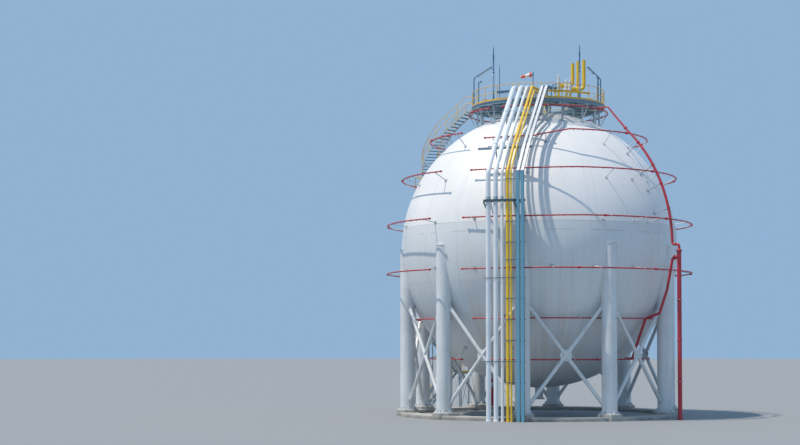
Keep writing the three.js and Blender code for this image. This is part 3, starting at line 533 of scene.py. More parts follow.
SEAM_LATITUDES = (-62.0, -38.0, 8.6, 66.0)
PETAL = 18.0
SEAM_START = TURN + PETAL / 2


def shell_skin():
    """White paint on plates: weld seams, runs below the rings, rust tint on the lower half, painted bluish
    shade low down.
    """
    skin = Skin("shell_white", coat=0.12)
    place = skin.place()
    x, y, z = skin.parts(place)
    level = skin.math("SUBTRACT", z, CENTRE)
    flat = skin.math("SQRT", skin.math("ADD", skin.times(x, x), skin.times(y, y)))
    safe = skin.math("MAXIMUM", flat, 0.05)
    azimuth = skin.math("ARCTAN2", x, skin.times(y, -1.0))
    latitude = skin.math("ARCTAN2", level, safe)

    def off_latitude(seam):
        """The distance along the shell from a level circle."""
        angle = skin.math("ABSOLUTE", skin.math("SUBTRACT", latitude, math.radians(seam)))
        return skin.times(angle, SHELL_RADIUS)

    def streaks(fineness, drawn, detail, roughness):
        """Noise that is fine round the shell and drawn out downward."""
        ways = [skin.times(skin.math("DIVIDE", way, safe), fineness) for way in (x, y)]
        return skin.noise(skin.joined(*ways, skin.times(level, drawn)), 1.0, detail, roughness)

    petal = math.radians(PETAL)
    off_seam = skin.math("PINGPONG", skin.math("SUBTRACT", azimuth, math.radians(SEAM_START)), petal / 2)
    seams = skin.span(skin.times(off_seam, safe), 0.03, 0.10, 1.0, 0.0)
    below_top = skin.span(latitude, math.radians(65.9), math.radians(66.1), 1.0, 0.0)
    above_bottom = skin.span(latitude, math.radians(-62.1), math.radians(-61.9))
    seams = skin.times(seams, skin.times(below_top, above_bottom))
    for seam in SEAM_LATITUDES:
        seams = skin.math("MAXIMUM", seams, skin.span(off_latitude(seam), 0.03, 0.09, 1.0, 0.0))

    broad = skin.noise(place, 0.22, 4, 0.5)
    fine = skin.noise(place, 3.0, 7, 0.62)
    grain = skin.noise(place, 26.0, 4, 0.6)
    runs = skin.span(streaks(42.0, 0.12, 6, 0.62), 0.47, 0.72)
    wide_runs = skin.span(streaks(13.0, 0.06, 5, 0.6), 0.50, 0.74)
    low = skin.span(level, 2.2, -6.0)
    # Painted shade: a bluish-grey tone over the shell below a level 1.5 above the centre.
    under = skin.times(skin.span(level, 1.45, 1.55, 1.0, 0.0), 0.6)
    streaked = skin.times(runs, skin.math("ADD", skin.times(low, 0.30), 0.10))
    warm = skin.times(wide_runs, skin.math("ADD", skin.times(low, 0.34), 0.06))
    grime = skin.times(skin.span(fine, 0.5, 0.8), 0.10)
    spots = skin.times(skin.times(skin.span(skin.noise(place, 1.7, 8, 0.72), 0.66, 0.80), low), 0.4)
    seam_dirt = skin.times(seams, skin.span(fine, 0.3, 0.7, 0.04, 0.16))
    dashes = skin.span(skin.noise(skin.scaled(place, (0.75, 0.75, 0.0)), 1.0, 2), 0.47, 0.53)
    line = skin.times(skin.span(off_latitude(4.9), 0.02, 0.06, 0.4, 0.0), dashes)

    paint = skin.mix(skin.span(broad, 0.35, 0.7), (0.86, 0.865, 0.87), (0.79, 0.80, 0.81))
    coats = ((under, (0.64, 0.71, 0.745)), (streaked, (0.46, 0.46, 0.44)), (warm, (0.60, 0.47, 0.36)),
             (grime, (0.50, 0.49, 0.46)), (spots, (0.40, 0.24, 0.15)), (seam_dirt, (0.50, 0.50, 0.50)),
             (line, (0.42, 0.43, 0.45)))
    for share, colour in coats:
        paint = skin.mix(share, paint, colour)
    height = skin.math("ADD", skin.times(broad, 0.5), skin.times(grain, 0.03))
    return skin.finish(paint, skin.span(fine, 0.3, 0.7, 0.34, 0.52), height, 0.25, 0.02)


def concrete_skin():
    skin = Skin("cast_concrete")
    place = skin.place()
    broad = skin.noise(place, 0.8, 5, 0.6)
    fine = skin.noise(place, 24.0, 8, 0.7)
    damp = skin.span(skin.parts(place)[2], 0.0, 0.22, 0.75, 0.0)
    colour = skin.mix(skin.span(broad, 0.3, 0.7), (0.50, 0.49, 0.46), (0.38, 0.37, 0.35))
    colour = skin.mix(skin.span(fine, 0.5, 0.75, 0.0, 0.5), colour, (0.27, 0.26, 0.25))
    colour = skin.mix(skin.times(damp, skin.span(broad, 0.3, 0.6)), colour, (0.20, 0.19, 0.17))
    return skin.finish(colour, skin.span(fine, 0.3, 0.7, 0.78, 0.95), fine, 0.5, 0.01)


SOCK_BAND_START = -0.475
SOCK_BAND = 0.32


def sock_skin():
    """Woven cloth with upright bands of two colours."""
    skin = Skin("sock_cloth")
    place = skin.place()
    weave = skin.noise(skin.scaled(place, (90.0, 260.0, 90.0)), 1.0, 3)
    band = skin.math("PINGPONG", skin.math("SUBTRACT", SOCK_BAND_START, skin.parts(place)[0]), SOCK_BAND)
    red = skin.span(band, SOCK_BAND * 0.47, SOCK_BAND * 0.53)
    colour = skin.mix(red, (0.82, 0.12, 0.06), (0.86, 0.84, 0.80))
    colour = skin.mix(skin.span(weave, 0.4, 0.7, 0.0, 0.25), colour, (0.45, 0.30, 0.26))
    skin.shader.inputs["Sheen Weight"].default_value = 0.3
    return skin.finish(colour, 0.85, weave, 0.3, 0.002)


SHELL_WHITE = shell_skin()
CONCRETE = concrete_skin()
LEG_WHITE = painted("leg_white", (0.74, 0.78, 0.80), (0.42, 0.42, 0.40), (0.36, 0.20, 0.11), 0.45, 0.35)
RED = painted("spray_red", (0.50, 0.025, 0.045), (0.20, 0.03, 0.035), (0.25, 0.10, 0.06), 0.4, 0.15, 0.38)
CLAMP_WHITE = painted("clamp_white", (0.72, 0.76, 0.78), (0.36, 0.35, 0.33), (0.34, 0.19, 0.11), 0.5, 0.6)
PIPE_WHITE = painted("pipe_white", (0.80, 0.85, 0.90), (0.48, 0.52, 0.56), (0.40, 0.30, 0.20), 0.32, 0.1,
                     0.34, 0.25)
PIPE_YELLOW = painted("pipe_yellow", (0.94, 0.60, 0.01), (0.42, 0.28, 0.03), (0.26, 0.14, 0.05), 0.38, 0.25,
                      0.36, 0.25)
RAIL_YELLOW = painted("rail_yellow", (0.93, 0.56, 0.015), (0.45, 0.32, 0.06), (0.30, 0.15, 0.06), 0.4, 0.35)
RAIL_TOP = painted("rail_top", (0.80, 0.50, 0.12), (0.50, 0.34, 0.14), (0.32, 0.16, 0.07), 0.4, 0.4)
POST_GREY = painted("post_grey", (0.43, 0.54, 0.60), (0.24, 0.28, 0.30), (0.28, 0.16, 0.10), 0.4, 0.4)
STEEL_BLUE = painted("steel_blue", (0.20, 0.33, 0.41), (0.10, 0.13, 0.15), (0.22, 0.13, 0.08), 0.5, 0.45)
DARK_STEEL = painted("dark_steel", (0.045, 0.115, 0.16), (0.03, 0.04, 0.05), (0.16, 0.10, 0.07), 0.45, 0.4)
LADDER_BLUE = painted("ladder_blue", (0.13, 0.38, 0.53), (0.10, 0.26, 0.38), (0.20, 0.20, 0.20), 0.35, 0.1)
EDGE_BLUE = painted("edge_blue", (0.075, 0.16, 0.27), (0.04, 0.07, 0.11), (0.18, 0.12, 0.09), 0.4, 0.3)
TRAY_WHITE = painted("tray_white", (0.74, 0.79, 0.84), (0.42, 0.44, 0.46), (0.34, 0.24, 0.16), 0.4, 0.25)
MAST_BLUE = painted("mast_blue", (0.06, 0.16, 0.29), (0.07, 0.11, 0.15), (0.2, 0.13, 0.09), 0.4, 0.3)
GRATING = metal("galvanised_grating", (0.46, 0.50, 0.52), (0.30, 0.27, 0.23), 0.55, 0.6)
BOLT = metal("bolt_steel", (0.36, 0.37, 0.38), (0.26, 0.17, 0.11), 0.45, 0.85)
VALVE_WHITE = painted("valve_white", (0.70, 0.74, 0.76), (0.40, 0.39, 0.36), (0.34, 0.2, 0.12), 0.5, 0.3)
CABLE = painted("cable_grey", (0.30, 0.32, 0.34), (0.15, 0.15, 0.15), amount=0.3, gloss=0.5, coat=0.0)


# Shell, legs, braces and foundation

SHELL_ZONES = [
    ("shell_bottom_crown", -90.0, -36.0),
    ("shell_lower_belt", -36.0, -14.0),
    ("shell_equator_belt", -14.0, 8.6),
    ("shell_upper_belt", 8.6, 36.0),
    ("shell_top_crown", 36.0, 90.0),
]
SHELL_SECTORS = 120
WALL = 0.04
BEAD_WIDTH = 0.03
BEAD_HEIGHT = 0.004
BEAD_FOOT = 0.01
LEG_SEAMS = (3.2, 6.4)
CAP_THICK = 0.045
CAP_GROWTH = 1.05
PLATE_THICK = 0.05
PLATE_RADIUS = 0.72
ANCHOR_CIRCLE = 0.60
PEDESTAL_RADIUS = 0.86
CROSSING_PLATES = (0.42, 0.30)


def shell_plates():
    """The outer and inner faces of each ring of plates, closed by lips at its seams."""
    azimuths = [360 * j / SHELL_SECTORS for j in range(SHELL_SECTORS)]
    for name, low, high in SHELL_ZONES:
        latitudes = spread(low, high, max(4, round((high - low) / 2.5)) + 1)
        outer = [(latitude, SHELL_RADIUS) for latitude in latitudes]
        inner = [(latitude, SHELL_RADIUS - WALL) for latitude in reversed(latitudes)]
        path = inner + outer if high == 90 else outer + inner
        if low > -90 and high < 90:
            path.append(outer[0])
        shape = Shape()
        rows = [[on_shell(azimuth, latitude, radius) for azimuth in azimuths] for latitude, radius in path]
        loft(shape, rows, True, 0, False)
        close_plates(shape.make(name + "_plates", [SHELL_WHITE], [name]).data)


def close_plates(mesh):
    """Joins the points that meet at a pole or where the rows close, and keeps the lips sharp."""
    work = bmesh.new()
    work.from_mesh(mesh)
    bmesh.ops.remove_doubles(work, verts=work.verts, dist=1e-5)
    bmesh.ops.recalc_face_normals(work, faces=work.faces)
    for edge in work.edges:
        if len(edge.link_faces) == 2 and edge.calc_face_angle() > 0.8:
            edge.smooth = False
    work.to_mesh(mesh)
    work.free()


def weld_seams():
    """Low weld beads along the petals' meridians and along the level seams."""
    shape = Shape()
    lines = [[on_shell(SEAM_START + PETAL * k, latitude) for latitude in spread(-61.8, 65.8, 60)]
             for k in range(round(360 / PETAL))]
    lines += [[on_shell(azimuth, seam) for azimuth in spread(0, 360, 145)] for seam in SEAM_LATITUDES]
    for line in lines:
        rows = []
        for k, place in enumerate(line):
            out = outward(place)
            side = way_at(line, k).cross(out).normalized() * BEAD_WIDTH / 2
            section = ((-1, -BEAD_FOOT), (-0.4, BEAD_HEIGHT), (0.4, BEAD_HEIGHT), (1, -BEAD_FOOT))
            rows.append([place + side * across + out * rise for across, rise in section])
        loft(shape, rows, True)
    shape.make("shell_weld_beads", [SHELL_WHITE])


def leg_top(place):
    """Where an upright line on a leg meets the shell from below, or the cap level."""
    return CENTRE - math.sqrt(max(0.0, SHELL_RADIUS ** 2 - place.length ** 2))


def octagon(centre, azimuth, radius):
    return [centre + around(azimuth + 22.5 + 45 * k, radius) for k in range(8)]


def leg(number, azimuth):
    shape = Shape()
    centre = around(azimuth, LEG_CIRCLE)
    foot = PEDESTAL_TOP + PLATE_THICK
    sides = 48
    rim = [on_circle(centre, RIGHT, BACK, LEG_RADIUS, a) for a in turns(sides)]
    levels = [foot] + [seam + step for seam in LEG_SEAMS for step in (0, 0.015)]
    rows = [[place + UP * level for place in rim] for level in levels]
    rows.append([place + UP * min(leg_top(place) + 0.012, CENTRE) for place in rim])
    loft(shape, rows, True, 0, False)
    shape.add(rows[0], [tuple(reversed(range(sides)))])
    beyond = [place.length >= SHELL_RADIUS for place in rim]
    first = next(k for k in range(sides) if beyond[k] and not beyond[k - 1])
    outer = [(first + k) % sides for k in range(sum(beyond))]
    edge = [centre + (rim[k] - centre) * CAP_GROWTH for k in outer]
    edge += [place - around(azimuth, 0.10) for place in (edge[-1], edge[0])]
    loft(shape, [[place + UP * level for place in edge] for level in (CENTRE - CAP_THICK, CENTRE)], False, 1)
    weld = [rim[(outer[-1] + k) % sides] for k in range(sides - len(outer) + 2)]
    tube(shape, [place + UP * leg_top(place) for place in weld], 0.028, 8)
    for level in LEG_SEAMS:
        turned(shape, [(LEG_RADIUS - 0.004, -0.014), (LEG_RADIUS + 0.007, 0), (LEG_RADIUS - 0.004, 0.014)],
               centre + UP * (level + 0.0075), UP, 48)
    chamfered(shape, octagon(centre, azimuth, PLATE_RADIUS), PEDESTAL_TOP + 0.001, foot, 0.012, 1)
    for k in range(8):
        out = around(azimuth + 45 * k, 1)
        near, far = centre + out * (LEG_RADIUS - 0.01), centre + out * 0.665
        profile = [near + UP * foot, far + UP * foot, far + UP * (foot + 0.05), near + UP * (foot + 0.24)]
        prism(shape, profile, left_of(out) * 0.011, 1)
        bolt = centre + around(azimuth + 45 * k + 22.5, ANCHOR_CIRCLE, foot)
        disc(shape, bolt, bolt + UP * 0.012, 0.042, 16, 1)
        rod(shape, bolt, (0.012, 0.05), 0.033, 6, 2)
        disc(shape, bolt + UP * 0.05, bolt + UP * 0.11, 0.018, 12, 2)
    shape.make(f"leg_{number}_column", [LEG_WHITE, CLAMP_WHITE, BOLT], [f"leg_{number}"])


def brace(number, azimuth):
    """Two crossed tubes between neighbouring legs, with end collars, fins and crossing plates."""
    shape = Shape()
    low, high = BRACE_CROSSING - BRACE_RISE, BRACE_CROSSING + BRACE_RISE
    left, right = around(azimuth, LEG_CIRCLE), around(azimuth + 360 / LEG_COUNT, LEG_CIRCLE)
    level = (right - left).normalized()
    square = level.cross(UP)
    middle = (left + right) / 2 + UP * BRACE_CROSSING
    for start, end in ((left + UP * low, right + UP * high), (left + UP * high, right + UP * low)):
        along = (end - start).normalized()
        cut = (LEG_RADIUS - 0.01) / along.dot(level)
        first, last = start + along * cut, end - along * cut
        tube(shape, [first, first.lerp(last, 0.5), last], BRACE_RADIUS, 28)
        for place, way in ((first, along), (last, -along)):
            collar(shape, place + way * 0.13, way, 0.03, BRACE_RADIUS + 0.014, 28)
            tip = place + way * 0.62
            fin = UP * (0.16 if way.z < 0 else -0.16)
            prism(shape, [place - way * 0.05, tip, tip + fin * 0.35, place + fin * 1.9], square * 0.009)
    for k, half in enumerate(CROSSING_PLATES):
        plate = [on_circle(middle, level, UP, half, a) for a in turns(8, 0.5)]
        prism(shape, plate, square * (0.011 + 0.011 * k))
    shape.make(f"brace_{number}_tubes", [LEG_WHITE], [f"brace_{number}"])


def foundation():
    shape = Shape()
    profile = [(9.0, 0), (10.3, 0), (10.3, 0.23), (10.28, 0.25), (9.02, 0.25), (9.0, 0.23), (9.0, 0)]
    turned(shape, profile, sides=120)
    for k in range(LEG_COUNT):
        azimuth = TURN + 360 / LEG_COUNT * k
        outline = octagon(around(azimuth, LEG_CIRCLE), azimuth, PEDESTAL_RADIUS)
        chamfered(shape, outline, 0.0, PEDESTAL_TOP, 0.03)
    shape.make("foundation_cast", [CONCRETE], ["foundation_ring"])


def bottom_nozzle():
    shape = Shape()
    base = CENTRE - SHELL_RADIUS
    profile = [(0, 1.15), (0.41, 1.15), (0.42, 1.16), (0.42, 1.22), (0.41, 1.23), (0.315, 1.235),
               (0.30, 1.29), (0.30, base - 0.04), (0.37, base - 0.02), (0.37, base + 0.03)]
    turned(shape, profile, sides=40)
    studs(shape, UP * 1.23, UP, 0.365, 16, 0.02, 0.035, 1)
    shape.make("bottom_nozzle_neck", [CLAMP_WHITE, BOLT], ["bottom_nozzle"])


shell_plates()
weld_seams()
for index in range(LEG_COUNT):
    leg(f"{index + 1:02d}", TURN + 360 / LEG_COUNT * index)
    brace(f"{index + 1:02d}", TURN + 360 / LEG_COUNT * index)
foundation()
bottom_nozzle()

# Spray system

RING_START = -30.0
RING_END = 138.0
TUCK_END = -3.0
BLEND_END = 16.0
FAR_START = -208.0
FAR_END = -42.0
FAR_STRUTS = spread(-204, -46, 7)
RINGS = {
    "upper": [
        {"latitude": 63.0, "struts": (-20, 8, 43, 75, 100, 126), "couplings": (-10, 58, 110)},
        {"latitude": 45.0, "tucked": 7.47, "level": 7.47, "struts": (-25, 4, 40, 64, 92, 118),
         "couplings": (51, 104)},
        {"latitude": 27.0, "tucked": 9.25, "struts": (-23, -5, 31, 46, 58, 82, 104, 128),
         "couplings": (52, 96)},
        {"latitude": 9.0, "tucked": 10.28, "struts": (-26, -6, 26, 41, 49, 72, 96, 120),
         "couplings": (23.7, 52.3, 88)},
    ],
    "lower": [
        {"latitude": -9.0, "tucked": 10.44, "leg_radius": 10.65, "struts": (-26, 5, 22, 40, 63, 86, 108, 128),
         "couplings": (14, 46, 92)},
        {"latitude": -27.0, "radius": 9.0, "struts": (-15, 18, 38, 62, 90, 118), "couplings": (30, 80)},
        {"latitude": -45.0, "struts": (-15, 18, 40, 70, 100, 128), "couplings": (30, 84)},
    ],
}
RISERS = {"right": (55.0, 11.69), "left": (-161.0, 11.45)}
MAIN_RADIUS = 0.15
MAIN_TOP = CENTRE - 0.45
MAIN_COLLARS = (2.6, 5.4, 8.2)
BRANCH_LEVEL = CENTRE - 0.9
BRANCH_RADIUS = 0.095
SHOULDER_DISTANCE = 6.0
STAY_LATITUDES = (40.5, 30, 22.5, 13)
NOZZLE_SPACING = 0.75
FIRST_NOZZLE = 0.4


def ring_place(ring, azimuth, tucked=None):
    lift = math.radians(ring["latitude"])
    distance = tucked or ring.get("radius") or RING_SPHERE * math.cos(lift)
    level = ring["level"] if tucked and "level" in ring else RING_SPHERE * math.sin(lift)
    return around(azimuth, distance, CENTRE + level)


def blended_place(ring, azimuth):
    """A point on the way from the tucked stretch back out to the ring's own circle."""
    full = ring_place(ring, azimuth)
    if "tucked" not in ring or "leg_radius" in ring or azimuth >= BLEND_END:
        return full
    share = (azimuth - TUCK_END) / (BLEND_END - TUCK_END)
    return ring_place(ring, azimuth, ring["tucked"]).lerp(full, share)


def front_ring(ring):
    if "leg_radius" in ring:
        points = [ring_place(ring, a, ring["tucked"]) for a in spread(RING_START, -15, 6)]
        points += [ring_place(ring, a, ring["leg_radius"]) for a in spread(-11, -3.4, 4)]
    elif "tucked" in ring:
        points = [ring_place(ring, a, ring["tucked"]) for a in spread(RING_START, TUCK_END, 10)]
    else:
        points = [ring_place(ring, a) for a in spread(RING_START, -2, 12)]
    return points + [blended_place(ring, a) for a in spread(0, RING_END, 70)]


def far_ring(ring):
    return [ring_place(ring, a) for a in spread(FAR_START, FAR_END, 80)]


def on_ring(ring, azimuth):
    """A ring's point and its run at an azimuth, with the stretch behind the pipes heeded."""
    if -40 < azimuth < TUCK_END and "tucked" in ring:
        place = ring_place(ring, azimuth, ring["tucked"])
    elif 0 <= azimuth < BLEND_END:
        place = blended_place(ring, azimuth)
    else:
        place = ring_place(ring, azimuth)
    return place, around(azimuth + 90, 1)


def strut(shape, place, run, skin):
    """A clamp round the ring, a rod square to the shell and a foot plate on it."""
    out = outward(place)
    foot = on_sphere(place)
    collar(shape, place, run, 0.025, 0.058, 16, skin)
    for side in SIDES:
        ear = place - out * 0.045 + run * 0.018 * side
        beam(shape, ear, ear - out * 0.10, 0.010, 0.05, skin)
    tube(shape, [place - out * 0.06, foot + out * 0.01], 0.030, 12, skin)
    pad(shape, foot, 0.02, 0.018, 0.13, 20, skin)
    studs(shape, foot + out * 0.015, out, 0.09, 4, 0.017, 0.025, 2)


def ring_pipe(shape, ring, points, azimuths, shift):
    """A ring with end caps, struts, flanged couplings and, all along it, nozzles toward the shell."""
    tube(shape, points, RING_PIPE, 16)
    for end, near in ((points[0], points[1]), (points[-1], points[-2])):
        disc(shape, end - (end - near).normalized() * 0.13, end, 0.072, 20)
    for azimuth in azimuths:
        # Struts between azimuths 10 and 100 are white, the rest grey-blue: one kind of strut as a lit copy
        # and a painted-shade copy.
        strut(shape, *on_ring(ring, azimuth), 3 if 10 < azimuth < 100 else 1)
    for azimuth in ring["couplings"]:
        place, run = on_ring(ring, azimuth + shift)
        collar(shape, place, run, 0.075, 0.078)
        for side in SIDES:
            collar(shape, place + run * 0.06 * side, run, 0.02, 0.09)
    gone = FIRST_NOZZLE
    for start, end in zip(points, points[1:]):
        length = (end - start).length
        while gone < length:
            place = start.lerp(end, gone / length)
            down = (-outward(place) - UP * 0.6).normalized()
            reaches = (0.03, 0.085, 0.09, 0.12)
            tube(shape, [place + down * reach for reach in reaches], [0.018, 0.018, 0.026, 0.012], 8)
            gone += NOZZLE_SPACING
        gone -= length


def upper_riser(shape, azimuth, distance):
    """A line from the top ring over the shell's shoulder and down to the main, held by stays."""
    top = ring_place(RINGS["upper"][0], azimuth)
    shoulder = around(azimuth, SHOULDER_DISTANCE, top.z + 0.03)
    run = [on_shell(azimuth, latitude, RING_SPHERE) for latitude in spread(47, 2, 24)]
    centre = around(azimuth, distance, MAIN_TOP)
    tail = rounded([run[-1], around(azimuth, RING_SPHERE + 0.02, CENTRE - 0.02),
                    around(azimuth, distance, CENTRE + 0.02), centre], 0.17, 8)
    line = rounded([top, shoulder, run[0]], 0.18)[:-1] + run + tail[1:]
    tube(shape, line, [0.058 + 0.037 * min(1.0, max(0.0, (21.0 - place.z) / 3)) for place in line], 24)
    flange_pair(shape, centre, UP, 0.20, 0.11, 0, 2)
    turned(shape, [(0.09, 0.18), (0.12, 0.10), (0.12, 0.03)], centre, UP, 28)
    collars = [(58, shoulder.lerp(run[0], 0.9))]
    collars += [(latitude, on_shell(azimuth, latitude, RING_SPHERE)) for latitude in STAY_LATITUDES]
    for latitude, place in collars:
        lift = math.radians(latitude)
        collar(shape, place, around(azimuth, math.sin(lift), -math.cos(lift)), 0.06, 0.115, 24)
    for _, place in collars[1:]:
        foot = on_sphere(place)
        tube(shape, [place, foot], 0.04, 12, 1)
        pad(shape, foot, 0.02, 0.02, 0.17, 20, 1)


def lower_riser(shape, azimuth, distance):
    """The upright main on its foot, with collars, and its branch to the lower rings."""
    foot = around(azimuth, distance)
    rod(shape, foot, (0.05, 3, 6, 9, MAIN_TOP - 0.03), MAIN_RADIUS, 28)
    flange = [(0, 0), (0.235, 0), (0.24, 0.005), (0.24, 0.045), (0.235, 0.05), (0.17, 0.055), (0.155, 0.13)]
    turned(shape, flange, foot, UP, 36)
    studs(shape, foot + UP * 0.05, UP, 0.205, 12, 0.014, 0.025, 2)
    cross = around(azimuth, distance, BRANCH_LEVEL)
    corners = [cross, around(azimuth, RING_SPHERE + 0.02, BRANCH_LEVEL)]
    corners += [on_shell(azimuth, latitude, RING_SPHERE) for latitude in (-8, -16, -25)]
    corners += [ring_place(ring, azimuth) for ring in RINGS["lower"][1:]]
    tube(shape, rounded(corners, 0.22), BRANCH_RADIUS, 24)
    for height in MAIN_COLLARS:
        collar(shape, foot + UP * height, UP, 0.05, 0.175, 28)
    for height in MAIN_COLLARS[::2]:
        collar(shape, foot + UP * height, UP, 0.012, 0.21, 28, 1)
    way = around(azimuth, 1)
    disc(shape, cross - way * 0.02, cross - way * 0.2, 0.125, 24)
    flange_pair(shape, cross - way * 0.34, way, 0.17, BRANCH_RADIUS, 0, 2, 8)


def spray_half(side):
    azimuth, distance = RISERS[side]
    front = side == "right"
    shift = 0 if front else -180
    for part, rings in RINGS.items():
        shape = Shape()
        for ring in rings:
            points = front_ring(ring) if front else far_ring(ring)
            ring_pipe(shape, ring, points, ring["struts"] if front else FAR_STRUTS, shift)
        riser = upper_riser if part == "upper" else lower_riser
        riser(shape, azimuth, distance)
        shape.make(f"spray_{part}_{side}_pipes", [RED, POST_GREY, BOLT, CLAMP_WHITE],
                   [f"spray_{part}_{side}"])


spray_half("right")
spray_half("left")

# Platform

DECK_THICK = 0.06
GRATING_PITCH = 0.06
GRATING_BARS = ((GRATING_PITCH, 0.023, 0.006, 0.04, False), (0.15, 0.008, 0.009, 0.012, True),
                (1.02, 0.022, 0.016, 0.042, False))
MIDDLE_CHANNEL = 3.75


def square_ring(shape, inner, outer, low, high):
    turned(shape, [(inner, low), (outer, low), (outer, high), (inner, high), (inner, low)], sides=96)


def deck():
    """Bearing bars, cross bars and panel seams between two kerb rings."""
    shape = Shape()
    inner, outer = DECK_HOLE + 0.012, DECK_RADIUS - 0.012
    for pitch, drop, width, depth, crosswise in GRATING_BARS:
        count = int(outer / pitch)
        for k in range(-count, count + 1):
            offset = k * pitch
            reach = math.sqrt(max(0.0, outer ** 2 - offset ** 2))
            gap = math.sqrt(max(0.0, inner ** 2 - offset ** 2))
            for start, end in [(-reach, -gap), (gap, reach)] if gap > 0.02 else [(-reach, reach)]:
                if end - start > 0.05:
                    flat = [(at, offset) if crosswise else (offset, at) for at in (start, end)]
                    beam(shape, *[upright(place, DECK_TOP - drop) for place in flat], width, depth)
    for radius in (DECK_HOLE + 0.006, DECK_RADIUS - 0.006):
        square_ring(shape, radius - 0.006, radius + 0.006, DECK_TOP - DECK_THICK, DECK_TOP)
    shape.make("platform_grating", [GRATING], ["platform_deck"])


def ring_channel(shape, radius, low, high, width, plate=0.014):
    """A ring beam of I section."""
    square_ring(shape, radius - width / 2, radius + width / 2, low, low + plate)
    square_ring(shape, radius - width / 2, radius + width / 2, high - plate, high)
    square_ring(shape, radius - plate / 2, radius + plate / 2, low + plate, high - plate)


def i_beam(shape, start, end, width, depth, plate=0.014):
    beam(shape, start, end, plate, depth - 2 * plate)
    for side in SIDES:
        shift = UP * side * (depth - plate) / 2
        beam(shape, start + shift, end + shift, width, plate)


def platform_frame():
    shape = Shape()
    high = DECK_TOP - DECK_THICK - 0.001
    low = high - 0.2
    middle = (low + high) / 2
    ring_channel(shape, DECK_RADIUS - 0.06, low, high, 0.10)
    ring_channel(shape, INNER_POST_RADIUS, low, high, 0.10)
    ring_channel(shape, MIDDLE_CHANNEL, low + 0.08, high, 0.07, 0.009)
    step = 360 / OUTER_POSTS
    for k in range(OUTER_POSTS):
        near, far = [around(step * k, r, middle) for r in (INNER_POST_RADIUS + 0.02, DECK_RADIUS - 0.09)]
        i_beam(shape, near, far, 0.13, 0.16)
        shell_post(shape, step * k, OUTER_POST_RADIUS, low + 0.02)
        ends = [around(step * j, OUTER_POST_RADIUS, low - 0.1) for j in (k, k + 1)]
        tube(shape, ends, 0.03, 8)
        if k % 2:
            feet = [upright(place, shell_level(OUTER_POST_RADIUS) + 0.3) for place in ends]
            tube(shape, [feet[0], ends[1]], 0.022, 8)
            tube(shape, [feet[1], ends[0]], 0.022, 8)
    for k in range(INNER_POSTS):
        shell_post(shape, 360 / INNER_POSTS * k, INNER_POST_RADIUS, low + 0.01)
    shape.make("platform_steelwork", [STEEL_BLUE, POST_GREY], ["platform_frame"])


def shell_post(shape, azimuth, radius, top):
    """A round post from the frame down to a pad plate that lies on the shell."""
    head = around(azimuth, radius, top)
    foot = around(azimuth, radius, shell_level(radius))
    tube(shape, [foot - outward(foot) * 0.01, head + UP * 0.02], 0.062, 20, 1)
    pad(shape, foot, 0.02, 0.022, 0.17, 24, 1)
    disc(shape, head - UP * 0.03, head - UP * 0.008, 0.11, 20, 1)
    out = around(azimuth, 1)
    for way in SIDES:
        near, far = head + out * way * 0.06, head + out * way * 0.17
        prism(shape, [near - UP * 0.01, far - UP * 0.01, near - UP * 0.17], left_of(out) * 0.007, 1)


# Guard rails

FRONT_POSTS = spread(-96, -22, 6) + [-15.6, -5.1, 3, 17.6, 20.3, 35.4, 48.4, 61, 73, 84]
BACK_POSTS = spread(85, 239, 12)
TOE_HEIGHT = 0.12
RAISED_PLATE = (0.42, 0.53)


def rail_line(shape, first, last, height, radius, skin=0):
    azimuths = spread(first, last, max(2, round((last - first) / 2.5)) + 1)
    tube(shape, [around(a, RAIL_RADIUS, DECK_TOP + height) for a in azimuths], radius, 12, skin)


def rail_post(shape, azimuth):
    foot = around(azimuth, RAIL_RADIUS, DECK_TOP)
    out = around(azimuth, 1)
    side = left_of(out)
    rod(shape, foot, (0.012, RAIL_HEIGHT), 0.026, 12)
    block(shape, foot + UP * 0.007, UP * 0.006, out * 0.045, side * 0.07)
    for way in SIDES:
        rod(shape, foot + side * way * 0.05, (0.013, 0.03), 0.011, 6, 2)


def rim_plate(shape, first, last, low=0.012, high=TOE_HEIGHT):
    """A flat bar on the inside of the posts, such as the toe plate."""
    near, far = RAIL_RADIUS - 0.034, RAIL_RADIUS - 0.028
    section = ((near, low), (far, low), (far, high), (near, high))
    azimuths = spread(first, last, max(2, round((last - first) / 2.5)) + 1)
    loft(shape, [[around(a, radius, DECK_TOP + height) for radius, height in section] for a in azimuths])


def railing(name, posts, stretches, infill=()):
    """A top rail over all posts, a middle rail and a toe plate along each stretch, and raised plates."""
    shape = Shape()
    rail_line(shape, posts[0], posts[-1], RAIL_HEIGHT, 0.024, 1)
    for first, last in stretches:
        rail_line(shape, first, last, MID_RAIL, 0.022)
        rim_plate(shape, first, last)
    for first, last in infill:
        rim_plate(shape, first, last, *RAISED_PLATE)
    for azimuth in posts:
        rail_post(shape, azimuth)
    shape.make(f"railing_{name}_rails", [RAIL_YELLOW, RAIL_TOP, BOLT], [f"railing_{name}"])


# Curved stair

STAIR_STRINGER = 0.17
TOWER_STRINGER = 0.207
STRINGER_THICK = 0.03
TREAD = 0.25
STAIR_STAYS = (0.33, 0.66)
LONGEST_STAY = 3.5


